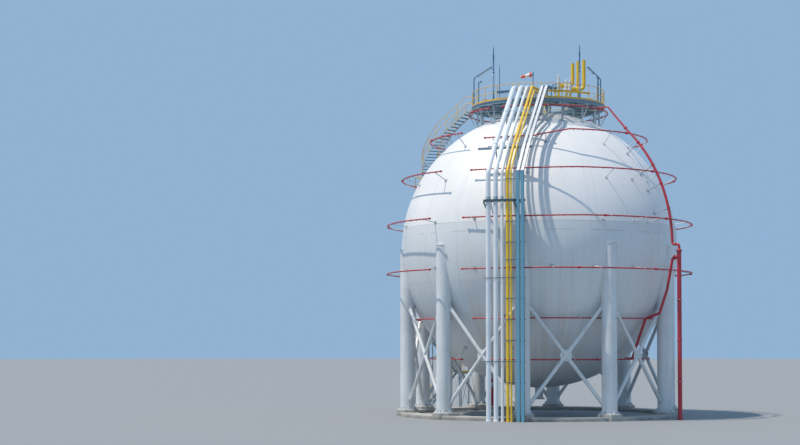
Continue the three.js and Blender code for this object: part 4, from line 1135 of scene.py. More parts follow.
def stair_curve(share):
    """A smooth centripetal curve through the route's four places, share 0 at the deck."""
    places = [Vector(place) for place in STAIR_ROUTE]
    places = [places[0] * 2 - places[1]] + places + [places[-1] * 2 - places[-2]]
    spot = share * (len(STAIR_ROUTE) - 1)
    index = min(int(spot), len(STAIR_ROUTE) - 2)
    p0, p1, p2, p3 = places[index:index + 4]
    t0, t1, t2 = [max((b - a).length, 1e-4) ** 0.5 for a, b in ((p0, p1), (p1, p2), (p2, p3))]
    m1 = ((p1 - p0) / t0 - (p2 - p0) / (t0 + t1) + (p2 - p1) / t1) * t1
    m2 = ((p2 - p1) / t1 - (p3 - p1) / (t1 + t2) + (p3 - p2) / t2) * t1
    t = spot - index
    return p1 + m1 * t + (3 * (p2 - p1) - 2 * m1 - m2) * t ** 2 + (2 * (p1 - p2) + m1 + m2) * t ** 3


CURVE = [stair_curve(k / 240) for k in range(241)]


def stair_at(height):
    """The curve's place and level run at a height."""
    index = next((k for k in range(1, len(CURVE)) if CURVE[k].z <= height), len(CURVE) - 1)
    first, last = CURVE[index - 1], CURVE[index]
    share = (first.z - height) / (first.z - last.z)
    return first.lerp(last, min(1.0, max(0.0, share))), level_way(last - first)


def tread(shape, place, run, width):
    """An open-grid tread: bars along its length, two end plates and a nosing."""
    side = left_of(run) * width
    half = run * TREAD / 2
    for share in spread(-1, 1, 8):
        spot = place + run * (TREAD / 2 - 0.02) * share - UP * 0.02
        beam(shape, spot - side / 2, spot + side / 2, 0.006, 0.034, 1)
    for way in SIDES:
        end = place + side * way * (0.5 - 0.004 / width) - UP * 0.024
        beam(shape, end - half, end + half, 0.006, 0.044, 1)
        bar = place + side * way / 6 - UP * 0.008
        beam(shape, bar - half, bar + half, 0.008, 0.01, 1)
    nose = place + half - UP * 0.012
    beam(shape, nose - side / 2, nose + side / 2, 0.03, 0.024, 1)


def stair_stub(shape):
    """The level grating between the deck's rim and the stair, in a frame of channels."""
    start = CURVE[0]
    ahead = level_way(start)
    side = left_of(ahead)
    rim = ahead * (DECK_RADIUS + 0.002) + UP * DECK_TOP
    reach = ahead * ((start - rim).length + TREAD / 2)
    half = (STAIR_WIDTH + STRINGER_THICK) / 2
    for offset in spread(0.03 - half, half - 0.03, int(half * 2 / GRATING_PITCH) + 1):
        bar = rim + side * offset - UP * 0.02
        beam(shape, bar, bar + reach, 0.006, 0.036, 1)
    for shares, drop, width, depth, skin in (((0.25, 0.5, 0.75), 0.007, 0.008, 0.01, 1),
                                             ((0.03, 0.97), 0.062, 0.03, 0.112, 0)):
        for share in shares:
            cross = rim + reach * share - UP * drop
            beam(shape, cross - side * half, cross + side * half, width, depth, skin)
    for way in SIDES:
        edge = rim + side * way * (half - 0.015) - UP * 0.06
        beam(shape, edge, edge + reach, 0.03, 0.118)


def upper_stair():
    shape = Shape()
    for way in SIDES:
        rows = []
        for k in range(0, len(CURVE), 6):
            side = way_at(CURVE, k).cross(UP).normalized() * way
            widths = [STAIR_WIDTH + STRINGER_THICK * j for j in SIDES]
            inner, outer = [CURVE[k] + side * width / 2 - UP * 0.02 for width in widths]
            half = UP * STAIR_STRINGER / 2
            rows.append([inner - half, outer - half, outer + half, inner + half])
        loft(shape, [row for row in rows if all(place.dot(TOWER_OUT) < TOWER_INNER for place in row)])
    stair_stub(shape)
    total = CURVE[0].z - CURVE[-1].z
    for k in range(1, STAIR_STEPS):
        place, run = stair_at(CURVE[0].z - total * k / STAIR_STEPS)
        tread(shape, place, run, STAIR_WIDTH - STRINGER_THICK)
    for share in STAIR_STAYS:
        place = stair_curve(share)
        side = (stair_curve(share + 0.01) - place).cross(UP).normalized()
        ends = []
        for way in SIDES:
            head = place + side * way * STAIR_WIDTH / 2 - UP * 0.12
            foot = on_sphere(head)
            if (head - foot).length <= LONGEST_STAY:
                tube(shape, [head, foot], 0.045, 12)
                pad(shape, foot, 0.02, 0.02, 0.15)
                ends.append((head, foot))
        if len(ends) == 2:
            (head, foot), (other_head, other_foot) = ends
            tube(shape, [head + UP * 0.02, other_head + UP * 0.02], 0.04, 12)
            tube(shape, [head.lerp(foot, 0.1), other_head.lerp(other_foot, 0.85)], 0.03, 10)
    shape.make("stair_upper_steps", [POST_GREY, EDGE_BLUE], ["stair_upper_flight"])
    stair_rail("front", 1)
    stair_rail("back", -1)


def stair_rail(name, way):
    shape = Shape()
    reach = (STAIR_WIDTH + STRINGER_THICK) / 2 + 0.022
    line = [CURVE[k] + way_at(CURVE, k).cross(UP).normalized() * way * reach for k in range(0, len(CURVE), 4)]
    ahead = level_way(CURVE[0])
    stub = ahead * (DECK_RADIUS + 0.06) + UP * DECK_TOP + ahead.cross(UP) * way * reach
    line = [stub, stub.lerp(line[0], 0.5)] + line
    last = len(line) - 6
    for height, radius, skin in ((RAIL_HEIGHT - 0.01, 0.024, 1), (MID_RAIL, 0.02, 0)):
        tube(shape, [place + UP * height for place in line[:last + 1]], radius, 12, skin)
    for k in range(8):
        place = line[round(last * k / 7)]
        rod(shape, place, (-0.13, RAIL_HEIGHT - 0.01), 0.022, 12)
        collar(shape, place, UP, 0.02, 0.034, 12)
    shape.make(f"stair_upper_rails_{name}", [RAIL_YELLOW, RAIL_TOP],
               [f"stair_upper_rail_{name}"])


# Stair tower

TOWER_SLAB = 0.12
FLIGHT_FROM = -TOWER_HALF + TOWER_LANDING
FLIGHT_TO = TOWER_HALF - TOWER_LANDING
LANE = (TOWER_OUTER - TOWER_INNER) / 2 - TOWER_POST - 0.04
LANE_A = TOWER_INNER + TOWER_POST + 0.02 + LANE / 2
LANE_B = TOWER_OUTER - TOWER_POST - 0.02 - LANE / 2
OUTS = (TOWER_INNER + TOWER_POST / 2, TOWER_OUTER - TOWER_POST / 2)
ALONGS = (-TOWER_HALF + TOWER_POST / 2, FLIGHT_FROM - TOWER_POST / 2, FLIGHT_TO + TOWER_POST / 2,
          TOWER_HALF - TOWER_POST / 2)


def square_post(shape, place, low, high, width):
    """An upright box section with its edges chamfered."""
    half = width / 2
    cut = half - width * 0.12
    corners = ((cut, half), (half, cut), (half, -cut), (cut, -half), (-cut, -half), (-half, -cut),
               (-half, cut), (-cut, half))
    outline = [place + TOWER_OUT * i + TOWER_ALONG * j for i, j in corners]
    loft(shape, [[corner + UP * level for corner in outline] for level in (low, high)])


def grid_slab(shape, outs, alongs, top, skin):
    """A landing: grating bars inside a channel frame."""
    (out0, out1), (along0, along1) = outs, alongs

    def crosswise(along, drop, width, depth, skin=0):
        beam(shape, in_tower(out0, along, top - drop), in_tower(out1, along, top - drop), width, depth, skin)

    def lengthwise(out, drop, width, depth, skin=0):
        beam(shape, in_tower(out, along0, top - drop), in_tower(out, along1, top - drop), width, depth, skin)

    for along in spread(along0 + 0.03, along1 - 0.03, int((along1 - along0) / 0.06)):
        crosswise(along, 0.02, 0.006, 0.036, skin)
    cross = int((out1 - out0) / 0.15)
    for k in range(1, cross):
        lengthwise(out0 + (out1 - out0) * k / cross, 0.007, 0.008, 0.01, skin)
    for out in (out0 + 0.02, out1 - 0.02):
        lengthwise(out, TOWER_SLAB / 2, 0.04, TOWER_SLAB)
    for along in (along0 + 0.02, along1 - 0.02):
        crosswise(along, TOWER_SLAB / 2, 0.04, TOWER_SLAB)
    for share in (0.33, 0.67):
        crosswise(along0 + (along1 - along0) * share, TOWER_SLAB / 2 + 0.01, 0.03, 0.08)


def tower_rail(shape, start, end, posts=2):
    """Two rails, the posts between their ends and, where they are level, a toe plate."""
    start, end = in_tower(*start), in_tower(*end)
    for height, radius in ((RAIL_HEIGHT, 0.024), (MID_RAIL, 0.02)):
        tube(shape, [start + UP * height, end + UP * height], radius, 10, 1)
    for k in range(1, posts - 1):
        rod(shape, start.lerp(end, k / (posts - 1)), (-0.05, RAIL_HEIGHT), 0.022, 10, 1)
    if abs(start.z - end.z) < 0.01:
        beam(shape, start + UP * 0.07, end + UP * 0.07, 0.008, 0.12, 1)


def stair_tower():
    """Eight posts with, on each storey, a landing, its rails, edge beams and bracing rods."""
    shape = Shape()
    for out in OUTS:
        for along in ALONGS:
            foot = in_tower(out, along, 0.0)
            square_post(shape, foot, 0.0, TOWER_TOP + RAIL_HEIGHT, TOWER_POST)
            square_post(shape, foot, 0.001, 0.022, 0.088)
    inner, outer = OUTS
    first, second, third, last = ALONGS
    for level in range(TOWER_STOREYS):
        top = TOWER_TOP - level * STOREY_RISE
        middle, bottom = top - STOREY_RISE / 2, top - STOREY_RISE
        landing = (TOWER_INNER + 0.005, TOWER_OUTER - 0.005), (-TOWER_HALF + 0.005, FLIGHT_FROM)
        grid_slab(shape, *landing, top, 2)
        tower_rail(shape, (inner, second, top), (inner, third, middle), 5)
        tower_rail(shape, (outer, third, middle), (outer, second, bottom), 5)
        tower_rail(shape, (outer, first, top), (outer, second, top))
        tower_rail(shape, (inner, first, top), (outer, first, top), 3)
        tower_rail(shape, (inner, last, middle), (outer, last, middle), 3)
        beam(shape, in_tower(inner, last, middle - 0.06), in_tower(outer, last, middle - 0.06), 0.07, 0.118)
        bays = [((inner, along), (outer, along)) for along in (first, last)]
        for out in OUTS:
            beam(shape, in_tower(out, third, middle - 0.06), in_tower(out, last, middle - 0.06), 0.07, 0.118)
            tower_rail(shape, (out, third, middle), (out, last, middle))
            bays += [((out, first), (out, second)), ((out, third), (out, last))]
        for a, b in bays:
            tube(shape, [in_tower(*a, bottom + 0.15), in_tower(*b, middle - 0.2)], 0.02, 8)
            tube(shape, [in_tower(*b, middle + 0.15), in_tower(*a, top - 0.2)], 0.02, 8)
    shape.make("stair_tower_steelwork", [POST_GREY, RAIL_YELLOW, GRATING],
               ["stair_tower_frame"])
    for level in range(TOWER_STOREYS):
        tower_storey(level)


def straight_flight(shape, start, end):
    """Treads between two channel stringers; what lies under the ground is left out."""
    width = LANE - STRINGER_THICK
    level = level_way(end - start)
    side = left_of(level)
    for way in SIDES:
        offset = side * way * width / 2 - UP * 0.02
        first, last = start + offset, end + offset
        reach = TOWER_STRINGER * 0.6
        if last.z < reach:
            last = first.lerp(last, (first.z - reach) / (first.z - last.z))
        beam(shape, first, last, STRINGER_THICK, TOWER_STRINGER)
    for k in range(1, TOWER_STEPS):
        tread(shape, start.lerp(end, k / TOWER_STEPS), level, width - STRINGER_THICK)


def tower_storey(level):
    shape = Shape()
    top = TOWER_TOP - level * STOREY_RISE
    middle, bottom = top - STOREY_RISE / 2, top - STOREY_RISE
    near, turn = FLIGHT_FROM + 0.002, FLIGHT_TO + 0.06
    straight_flight(shape, in_tower(LANE_A, near, top), in_tower(LANE_A, turn, middle))
    straight_flight(shape, in_tower(LANE_B, turn, middle), in_tower(LANE_B, near, bottom))
    landing = (LANE_A - LANE / 2, LANE_B + LANE / 2), (FLIGHT_TO, TOWER_HALF - TOWER_POST - 0.002)
    grid_slab(shape, *landing, middle, 1)
    number = TOWER_STOREYS - level
    shape.make(f"stair_tower_flights_{number}", [POST_GREY, GRATING],
               [f"stair_tower_storey_{number}"])


deck()
platform_frame()
railing("front", FRONT_POSTS, [(-96, -22), (3, 84)], [(8, 50)])
railing("back", BACK_POSTS, [(BACK_POSTS[0], BACK_POSTS[-1])])
upper_stair()
stair_tower()

# Pipe bundle

PIPES = (("white_left", -1.244, 0.168, 0), ("white_middle", -0.719, 0.16, 0),
         ("white_right", -0.269, 0.105, 0), ("yellow_wide", 0.103, 0.1, 1),
         ("yellow_narrow", 0.353, 0.062, 1))
LADDERS = (("left", 0.845), ("right", 1.155))
NARROW_TOP = 22.86
LADDER_WIDTH = 0.23
LADDER_DEPTH = 0.09
LADDER_END = 3.85
SHORT_GUIDES = (16.17, 13.34, 11.94, 10.76, 8.2, 6.8, 5.4, 2.6)
FULL_GUIDES = (9.57, 4.0)
BRACKET_LEVEL = 14.75
BRACKET_FRONT = 10.985
BRACKET_BACK = 10.54
BRACKET_LEFT = -1.51
BRACKET_RIGHT = 0.62
BRACKET_LAST = 1.3
SUPPORTS = {"middle": 9.3, "upper": 7.0}
SUPPORT_ENDS = (-2.45, 1.45)
SUPPORT_LEGS = (-1.18, 0.37)
NOZZLE_FLANGE = 0.42
PIPE_BANDS = (13.95, 7.5)


def bundle_route(offset, inner, top=LEVEL_TOP):
    """A line's corners: its level stretch lies at a height of its own and meets the common slope."""
    elbow = BUNDLE_ELBOW + (BUNDLE_KINK - BUNDLE_ELBOW) * (LEVEL_TOP - top) / (LEVEL_TOP - LEVEL_KINK)
    corners = ((inner, top), (elbow, top), (BUNDLE_KINK, LEVEL_KINK), (BUNDLE_OUTER, LEVEL_BEND),
               (BUNDLE_OUTER, 0.0))
    return [in_bundle(out, offset, level) for out, level in corners]


def slope_level(out):
    share = (out - BUNDLE_ELBOW) / (BUNDLE_KINK - BUNDLE_ELBOW)
    return LEVEL_TOP + (LEVEL_KINK - LEVEL_TOP) * share


SLOPE_WAY = (in_bundle(BUNDLE_KINK, 0, LEVEL_KINK) - in_bundle(BUNDLE_ELBOW, 0, LEVEL_TOP)).normalized()
SLOPE_NORMAL = SLOPE_WAY.cross(BUNDLE_RIGHT).normalized()


def mitred(points, k):
    """The way square to a line of points in the bundle at a corner, long enough for a mitre."""
    before = (points[max(k, 1)] - points[max(k, 1) - 1]).normalized()
    after = (points[k + 1] - points[k]).normalized() if k < len(points) - 1 else before
    first = before.cross(BUNDLE_RIGHT)
    out = (first + after.cross(BUNDLE_RIGHT)).normalized()
    return out / out.dot(first)


def lane(shape, points, width, depth, skin=0, lift=0.0):
    """A rectangular bar along points in one of the bundle's upright planes, mitred at each corner."""
    rows = []
    for k, place in enumerate(points):
        out = mitred(points, k)
        rows.append([place + out * (lift + j * depth / 2) + BUNDLE_RIGHT * i * width / 2
                     for j, i in ((-1, -1), (-1, 1), (1, 1), (1, -1))])
    loft(shape, rows, False, skin)


def crossbar(shape, place, half, width, depth, skin, upward, onward=0.0):
    """A bar that lies across the bundle; it may run on along the given way to its far end."""
    side = BUNDLE_RIGHT * half
    beam(shape, place - side, place + side + upward * onward, width, depth, skin, upward)


def strap(shape, centre, radius, width=0.06, thick=0.009, skin=2):
    """A half-round strap over a sloping pipe, with two bolted lugs."""
    side, half = -BUNDLE_RIGHT, SLOPE_WAY * width / 2
    rows = []
    for angle in spread(0, math.pi, 17):
        near, far = [on_circle(centre, side, SLOPE_NORMAL, radius + gap, angle) for gap in (0.001, thick)]
        rows.append([near - half, near + half, far + half, far - half])
    loft(shape, rows, False, skin)
    for way in SIDES:
        lug = centre + side * way * (radius + 0.03)
        block(shape, lug, SLOPE_NORMAL * 0.006, side * 0.03, half, skin)
        tube(shape, [lug - SLOPE_NORMAL * 0.02, lug + SLOPE_NORMAL * 0.025], 0.011, 6, 1)


def u_bolt(shape, centre, radius, reach):
    """A round U bolt about an upright pipe, whose legs run on to a beam in front of it."""
    bend = radius + 0.008
    side = BUNDLE_RIGHT * bend
    ends = [centre + side + BUNDLE_OUT * reach, centre - side + BUNDLE_OUT * reach]
    arc = [on_circle(centre, BUNDLE_RIGHT, -BUNDLE_OUT, bend, angle) for angle in spread(0, math.pi, 13)]
    tube(shape, [ends[0]] + arc + [ends[1]], 0.008, 8, 1)
    for end in ends:
        tube(shape, [end - BUNDLE_OUT * 0.028, end - BUNDLE_OUT * 0.016], 0.018, 6, 1)


def pipe(name, offset, radius, yellow):
    """A line from its nozzle on the shell, over the deck and down to the ground."""
    shape = Shape()
    # Below the deck a yellow line's nozzle stretch, pad and flange are grey-blue instead of yellow: partly
    # the grey of the nozzle and its flange, partly painted shade under the deck.
    below_deck_shade_skin = 2 * yellow
    top = NARROW_TOP if name == "yellow_narrow" else LEVEL_TOP
    corners = [in_bundle(BUNDLE_INNER, offset, 21.6)] + bundle_route(offset, BUNDLE_INNER, top)
    points = rounded(corners, 3.2 * radius, 10)
    under_deck = in_bundle(BUNDLE_INNER, offset, DECK_TOP - 0.05)
    tube(shape, [points[0], under_deck], radius, 28, below_deck_shade_skin)
    tube(shape, [under_deck] + points[1:], radius, 28)
    foot = in_bundle(BUNDLE_INNER, offset, shell_level(in_bundle(BUNDLE_INNER, offset, 0).length))
    pad(shape, foot, 0.03, 0.02, radius + 0.12, 36, below_deck_shade_skin)
    flange_pair(shape, foot + UP * NOZZLE_FLANGE, UP, radius * 1.42, radius, below_deck_shade_skin, 1)
    joint = in_bundle(2.75 + 0.25 * abs(offset), offset, top)
    flange_pair(shape, joint, BUNDLE_OUT, radius * 1.36, radius, 0, 1)
    base = in_bundle(BUNDLE_OUTER, offset, 0.0)
    disc(shape, base, base + UP * 0.04, radius + 0.04)
    turned(shape, [(radius * 1.16, 0.04), (radius * 1.01, 0.16)], base)
    studs(shape, base + UP * 0.04, UP, radius + 0.021, 12, 0.011, 0.02, 1)
    for level in PIPE_BANDS:
        collar(shape, base + UP * level, UP, 0.012, radius * 1.07, 28)
    for out in SUPPORTS.values():
        strap(shape, in_bundle(out, offset, slope_level(out)), radius)
    skins = [(PIPE_WHITE, PIPE_YELLOW)[yellow], BOLT, POST_GREY]
    shape.make(f"bundle_pipe_{name}", skins, [f"pipe_{name}"])


def cable_ladder(name, offset):
    """Two side rails with rungs, and cables on them: light with dark edges on the slope, blue below with a
    painted-shade dark right rail.
    """
    shape = Shape()
    route = bundle_route(offset, LADDER_END)
    rails = LADDER_WIDTH / 2 - 0.011
    for way in SIDES:
        shifted = [place + BUNDLE_RIGHT * way * rails for place in route]
        lane(shape, shifted[:4], 0.022, LADDER_DEPTH)
        # On the upright stretch the right rail is edge blue and the left one ladder blue: painted shade on
        # the ladder's right side.
        lane(shape, shifted[3:], 0.022, LADDER_DEPTH, 0 if way > 0 else 1)
    for k, (first, last) in enumerate(zip(route, route[1:])):
        along = (last - first).normalized()
        normal = along.cross(BUNDLE_RIGHT)
        length = (last - first).length
        count = max(2, round(length / 0.28))
        sloping = k < 3
        skin = 2 if sloping else 1
        spots = [first.lerp(last, j / count) - normal * 0.012 for j in range(count + sloping)]
        for spot in spots:
            crossbar(shape, spot, rails, 0.022, 0.04, skin, along)
        for j, (spot, ahead) in enumerate(zip(spots, spots[1:])):
            side = BUNDLE_RIGHT * rails * (1 if j % 2 else -1)
            beam(shape, spot - side, ahead + side, 0.012, 0.02, skin, along)
        if sloping:
            lane(shape, [first + along * 0.01, last - along * 0.01], LADDER_WIDTH - 0.05, 0.004, 2, 0.036)
            for j in range(int(length / 0.2)):
                place = first + along * (0.1 + 0.2 * j) + normal * 0.040
                crossbar(shape, place, 0.085, 0.004, 0.016, 0, along, 0.13)
        else:
            tray_covers(shape, first, last, along, normal)
    for shift, radius in ((-0.062, 0.017), (-0.022, 0.013), (0.014, 0.015), (0.055, 0.019)):
        points = [place + BUNDLE_RIGHT * shift for place in route]
        lifted = [place + mitred(points, k) * (radius + 0.001) for k, place in enumerate(points)]
        tube(shape, lifted, radius, 10, 3)
    foot = in_bundle(LADDER_END + 0.12, offset, DECK_TOP)
    head = upright(foot, LEVEL_TOP - 0.03)
    tube(shape, [foot, head], 0.036, 12, 1)
    disc(shape, foot + UP * 0.001, foot + UP * 0.014, 0.075, 20, 1)
    crossbar(shape, head, 0.13, 0.05, 0.04, 1, UP)
    shape.make(f"cable_rack_{name}", [EDGE_BLUE, LADDER_BLUE, TRAY_WHITE, CABLE],
               [f"cable_ladder_{name}"])


def tray_covers(shape, first, last, along, normal):
    """Lengths of blue cover on the upright stretch, each one under a strap at its joints."""
    joints = [first.lerp(last, share) for share in spread(0, 1, 9)]
    for start, end in zip(joints, joints[1:]):
        lane(shape, [start + along * 0.006, end - along * 0.006], LADDER_WIDTH - 0.026, 0.005, 1, 0.041)
    for joint in joints[1:-1]:
        crossbar(shape, joint + along * 0.006 + normal * 0.046, 0.104, 0.005, 0.045, 1, along)


def section_beam(shape, start, end, width, depth):
    """A beam of channel section that lies in the bundle: its web upright, its flanges toward the shell."""
    web = (end - start).normalized().cross(UP).normalized() * (width / 2 - 0.007)
    beam(shape, start + web, end + web, 0.014, depth)
    for way in SIDES:
        flange = UP * way * (depth / 2 - 0.007)
        beam(shape, start + flange, end + flange, width, 0.014)


def bar(shape, start, end, width, depth, skin=0, upward=UP):
    """A beam between two places of the bundle."""
    beam(shape, in_bundle(*start), in_bundle(*end), width, depth, skin, upward)


def main_bracket():
    shape = Shape()
    level = BRACKET_LEVEL
    for out, last, width in ((BRACKET_FRONT, BRACKET_RIGHT, 0.06), (BRACKET_BACK, BRACKET_LAST, 0.11)):
        section_beam(shape, in_bundle(out, BRACKET_LEFT, level), in_bundle(out, last, level), width, 0.15)
    for offset in (BRACKET_LEFT, BRACKET_RIGHT):
        base = in_bundle(BRACKET_FRONT, offset, level)
        seat = shell_hit(base, in_bundle(9.0, offset, level))
        beam(shape, base, seat, 0.012, 0.13)
        for way in SIDES:
            beam(shape, base + UP * way * 0.059, seat + UP * way * 0.059, 0.08, 0.012)
        low = shell_hit(base - UP * 0.06, in_bundle(9.0, offset, level - 1.5))
        beam(shape, base - UP * 0.06, low, 0.08, 0.08)
        pad(shape, seat, 0.03, 0.02, 0.12, 24, 3)
        pad(shape, low, 0.03, 0.02, 0.1, 24, 3)
    for _, offset, radius, yellow in PIPES:
        place = in_bundle(BUNDLE_OUTER, offset, level)
        u_bolt(shape, place, radius, 0.245)
        beam(shape, in_bundle(BRACKET_BACK + 0.055, offset, level), place - BUNDLE_OUT * radius, 0.05, 0.10)
        if not yellow:
            disc(shape, place + UP * 0.085, place + UP * 0.29, radius + 0.012, 28, 2)
    for offset in (BRACKET_LEFT + 0.03, -0.98, -0.49, -0.08, 0.23, BRACKET_RIGHT):
        for side in SIDES:
            foot = in_bundle(BRACKET_FRONT + 0.037, offset, level + side * 0.045)
            tube(shape, [foot - BUNDLE_OUT * 0.012, foot + BUNDLE_OUT * 0.012], 0.016, 6, 1)
    for _, offset in LADDERS:
        bar(shape, (BRACKET_BACK + 0.05, offset, level), (BUNDLE_OUTER - 0.04, offset, level), 0.10, 0.08)
    shape.make("bundle_bracket", [DARK_STEEL, BOLT, POST_GREY, CLAMP_WHITE],
               ["pipe_bracket_main"])


def guides():
    """Clamped rods that tie the upright lines: short ones on the yellow pipes, full ones on all five."""
    shape = Shape()
    rows = [(level, PIPES[3:], 0.01, 0.12) for level in SHORT_GUIDES]
    rows += [(level, PIPES, -1.5, 0.19) for level in FULL_GUIDES]
    behind = BUNDLE_OUTER - 0.075
    for level, pipes, left, reach in rows:
        front = BUNDLE_OUTER + reach
        bar(shape, (front, left, level), (front, 0.53, level), 0.012, 0.045)
        for _, offset, radius, _ in pipes:
            u_bolt(shape, in_bundle(BUNDLE_OUTER, offset, level), radius, reach + 0.025)
            if radius < reach - 0.03:
                bar(shape, (BUNDLE_OUTER + radius, offset, level), (front, offset, level), 0.03, 0.04)
        bar(shape, (front, 0.51, level), (behind, 0.51, level), 0.04, 0.045)
        bar(shape, (behind, 0.49, level), (behind, 1.31, level), 0.04, 0.045)
        for _, offset in LADDERS:
            bar(shape, (behind, offset, level), (BUNDLE_OUTER - 0.04, offset, level), 0.05, 0.04)
    shape.make("bundle_guides", [DARK_STEEL, BOLT])


def slope_support(name, out):
    """A cross beam of I section under the slope, on two legs, with a seat under each line."""
    shape = Shape()
    level = slope_level(out) - 0.23
    left, right = SUPPORT_ENDS
    bar(shape, (out, left, level), (out, right, level), 0.012, 0.13)
    # The upper flange is white and the lower one grey-blue: painted light on the beam's top, painted shade on
    # its underside.
    for way, skin in zip(SIDES, (0, 1)):
        rise = level + way * 0.072
        bar(shape, (out, left, rise), (out, right, rise), 0.15, 0.014, skin)
    for offset in SUPPORT_LEGS:
        head = in_bundle(out, offset, level - 0.07)
        foot = shell_hit(head, in_bundle(out - 0.45, offset, LEVEL_BEND))
        tube(shape, [head, foot], 0.055)
        pad(shape, foot, 0.03, 0.022, 0.12, 24, 2)
        disc(shape, head - UP * 0.012, head + UP * 0.004, 0.09, 20)
    for offset in (left + 0.01, right - 0.01):
        block(shape, in_bundle(out, offset, level), UP * 0.072, BUNDLE_RIGHT * 0.006, BUNDLE_OUT * 0.075)
    for _, offset, radius, _ in PIPES:
        seat = in_bundle(out, offset, slope_level(out)) - SLOPE_NORMAL * radius
        beam(shape, upright(seat, level + 0.06), seat, 0.05, 0.10, 0, BUNDLE_OUT)
    for _, offset in LADDERS:
        top = slope_level(out) - 0.05
        bar(shape, (out, offset, level + 0.06), (out, offset, top), 0.12, 0.08, 0, BUNDLE_OUT)
    shape.make(f"bundle_support_{name}", [POST_GREY, TRAY_WHITE, CLAMP_WHITE],
               [f"pipe_support_{name}"])


# Relief manifold

HEADER_LEVEL = 22.95
HEADER_START, HEADER_END, HEADER_RADIUS = (1.15, 0.95), (2.56, -0.72), 0.1
HEADER_PROP = (2.95, -0.459)
NECK = (0.5, 0.6)
NECK_FLANGE = 22.42
LINK_END = (1.9, 0.2)
VENT_RADIUS = 0.128
VENT_BORE = 0.112
RELIEF_LINES = (((1.51, 0.524), (2.545, 0.524), 24.15, 25.04, 25.79),
                ((2.06, -0.128), (2.922, -0.128), 23.78, 24.55, 25.825),
                ((2.34, -0.459), (3.34, -0.459), 23.74, 24.57, 25.85))


def relief_valve(shape, middle, rise, toward):
    """A spring valve: inlet flanges, a round body with a side outlet, a bonnet and a pointed cap."""
    tube(shape, [upright(middle, HEADER_LEVEL), middle - UP * 0.2], 0.085, 20)
    flange_pair(shape, middle - UP * 0.26, UP, 0.16, 0.085, 1, 2, 8)
    profile = [(0.09, -0.19), (0.12, -0.15), (0.16, -0.08), (0.165, 0.02), (0.15, 0.1), (0.11, 0.16)]
    turned(shape, profile, middle, UP, 28, 1)
    disc(shape, middle + UP * 0.15, middle + UP * 0.185, 0.165, 28, 1)
    studs(shape, middle + UP * 0.185, UP, 0.135, 8, 0.014, 0.022, 2)
    cone = [(0.12, 0.185), (0.105, 0.3), (0.095, 0.62 * rise), (0.105, 0.64 * rise), (0.105, 0.7 * rise),
            (0.08, 0.73 * rise), (0.055, 0.9 * rise), (0.02, 0.98 * rise), (0, rise)]
    turned(shape, cone, middle, UP, 24, 1)
    lever = middle + UP * 0.66 * rise
    beam(shape, lever, lever + toward * 0.2 + UP * 0.02, 0.012, 0.03, 2)


def relief_manifold():
    """A nozzle with a slanting header, and on it three relief valves with their vents."""
    shape = Shape()
    neck = upright(NECK, HEADER_LEVEL)
    foot = upright(NECK, shell_level(math.hypot(*NECK)))
    tube(shape, [foot - UP * 0.05, neck + UP * 0.02], 0.2, 32)
    pad(shape, foot, 0.04, 0.024, 0.42, 40, 3)
    flange_pair(shape, upright(NECK, NECK_FLANGE), UP, 0.31, 0.2, 3, 2, 16)
    turned(shape, [(0.2, 0.0), (0.17, 0.08), (0.1, 0.14), (0, 0.16)], neck)
    start, end = upright(HEADER_START, HEADER_LEVEL), upright(HEADER_END, HEADER_LEVEL)
    along = (end - start).normalized()
    tube(shape, [start, end], HEADER_RADIUS, 28)
    for place, way in ((start, -1), (end, 1)):
        turned(shape, [(HEADER_RADIUS, 0), (0.08, 0.04), (0.045, 0.065), (0, 0.075)], place, along * way, 28)
    for share in (0.12, 0.78):
        flange_pair(shape, start.lerp(end, share), along, 0.165, HEADER_RADIUS, 0, 2)
    link = upright(LINK_END, HEADER_LEVEL)
    tube(shape, [neck, link], 0.12, 24)
    flange_pair(shape, neck.lerp(link, 0.45), link - neck, 0.19, 0.12, 0, 2)
    for place, top, radius in ((HEADER_END, HEADER_LEVEL - 0.09, 0.05), (HEADER_PROP, 23.65, 0.045)):
        base = upright(place, DECK_TOP)
        tube(shape, [base, upright(place, top)], radius, 16, 4)
        disc(shape, base + UP * 0.001, base + UP * 0.016, 0.11, 24, 4)
        studs(shape, base + UP * 0.016, UP, 0.085, 4, 0.012, 0.02, 2)
    for valve, vent, outlet, tip, top in RELIEF_LINES:
        middle, bend, rim = upright(valve, outlet), upright(vent, outlet), upright(vent, top)
        toward = (bend - middle).normalized()
        relief_valve(shape, middle, tip - outlet, -toward)
        tube(shape, rounded([middle + toward * 0.12, bend, rim], 0.26, 10), VENT_RADIUS, 24)
        flange_pair(shape, middle + toward * 0.27, toward, 0.185, VENT_RADIUS, 0, 2)
        lip = VENT_RADIUS + 0.006
        turned(shape, [(lip, -0.04), (lip, 0), (VENT_BORE, 0), (VENT_BORE, -0.3)], rim, UP, 24)
        # A dark steel disc closes each vent's bore 0.3 below the rim: painted shade inside the pipe.
        turned(shape, [(VENT_BORE, -0.3), (0, -0.3)], rim, UP, 24, 5)
    gate_valve(shape, start.lerp(end, 0.08))
    skins = [PIPE_YELLOW, VALVE_WHITE, BOLT, CLAMP_WHITE, POST_GREY, DARK_STEEL, EDGE_BLUE]
    shape.make("relief_pipework", skins, ["relief_manifold"])


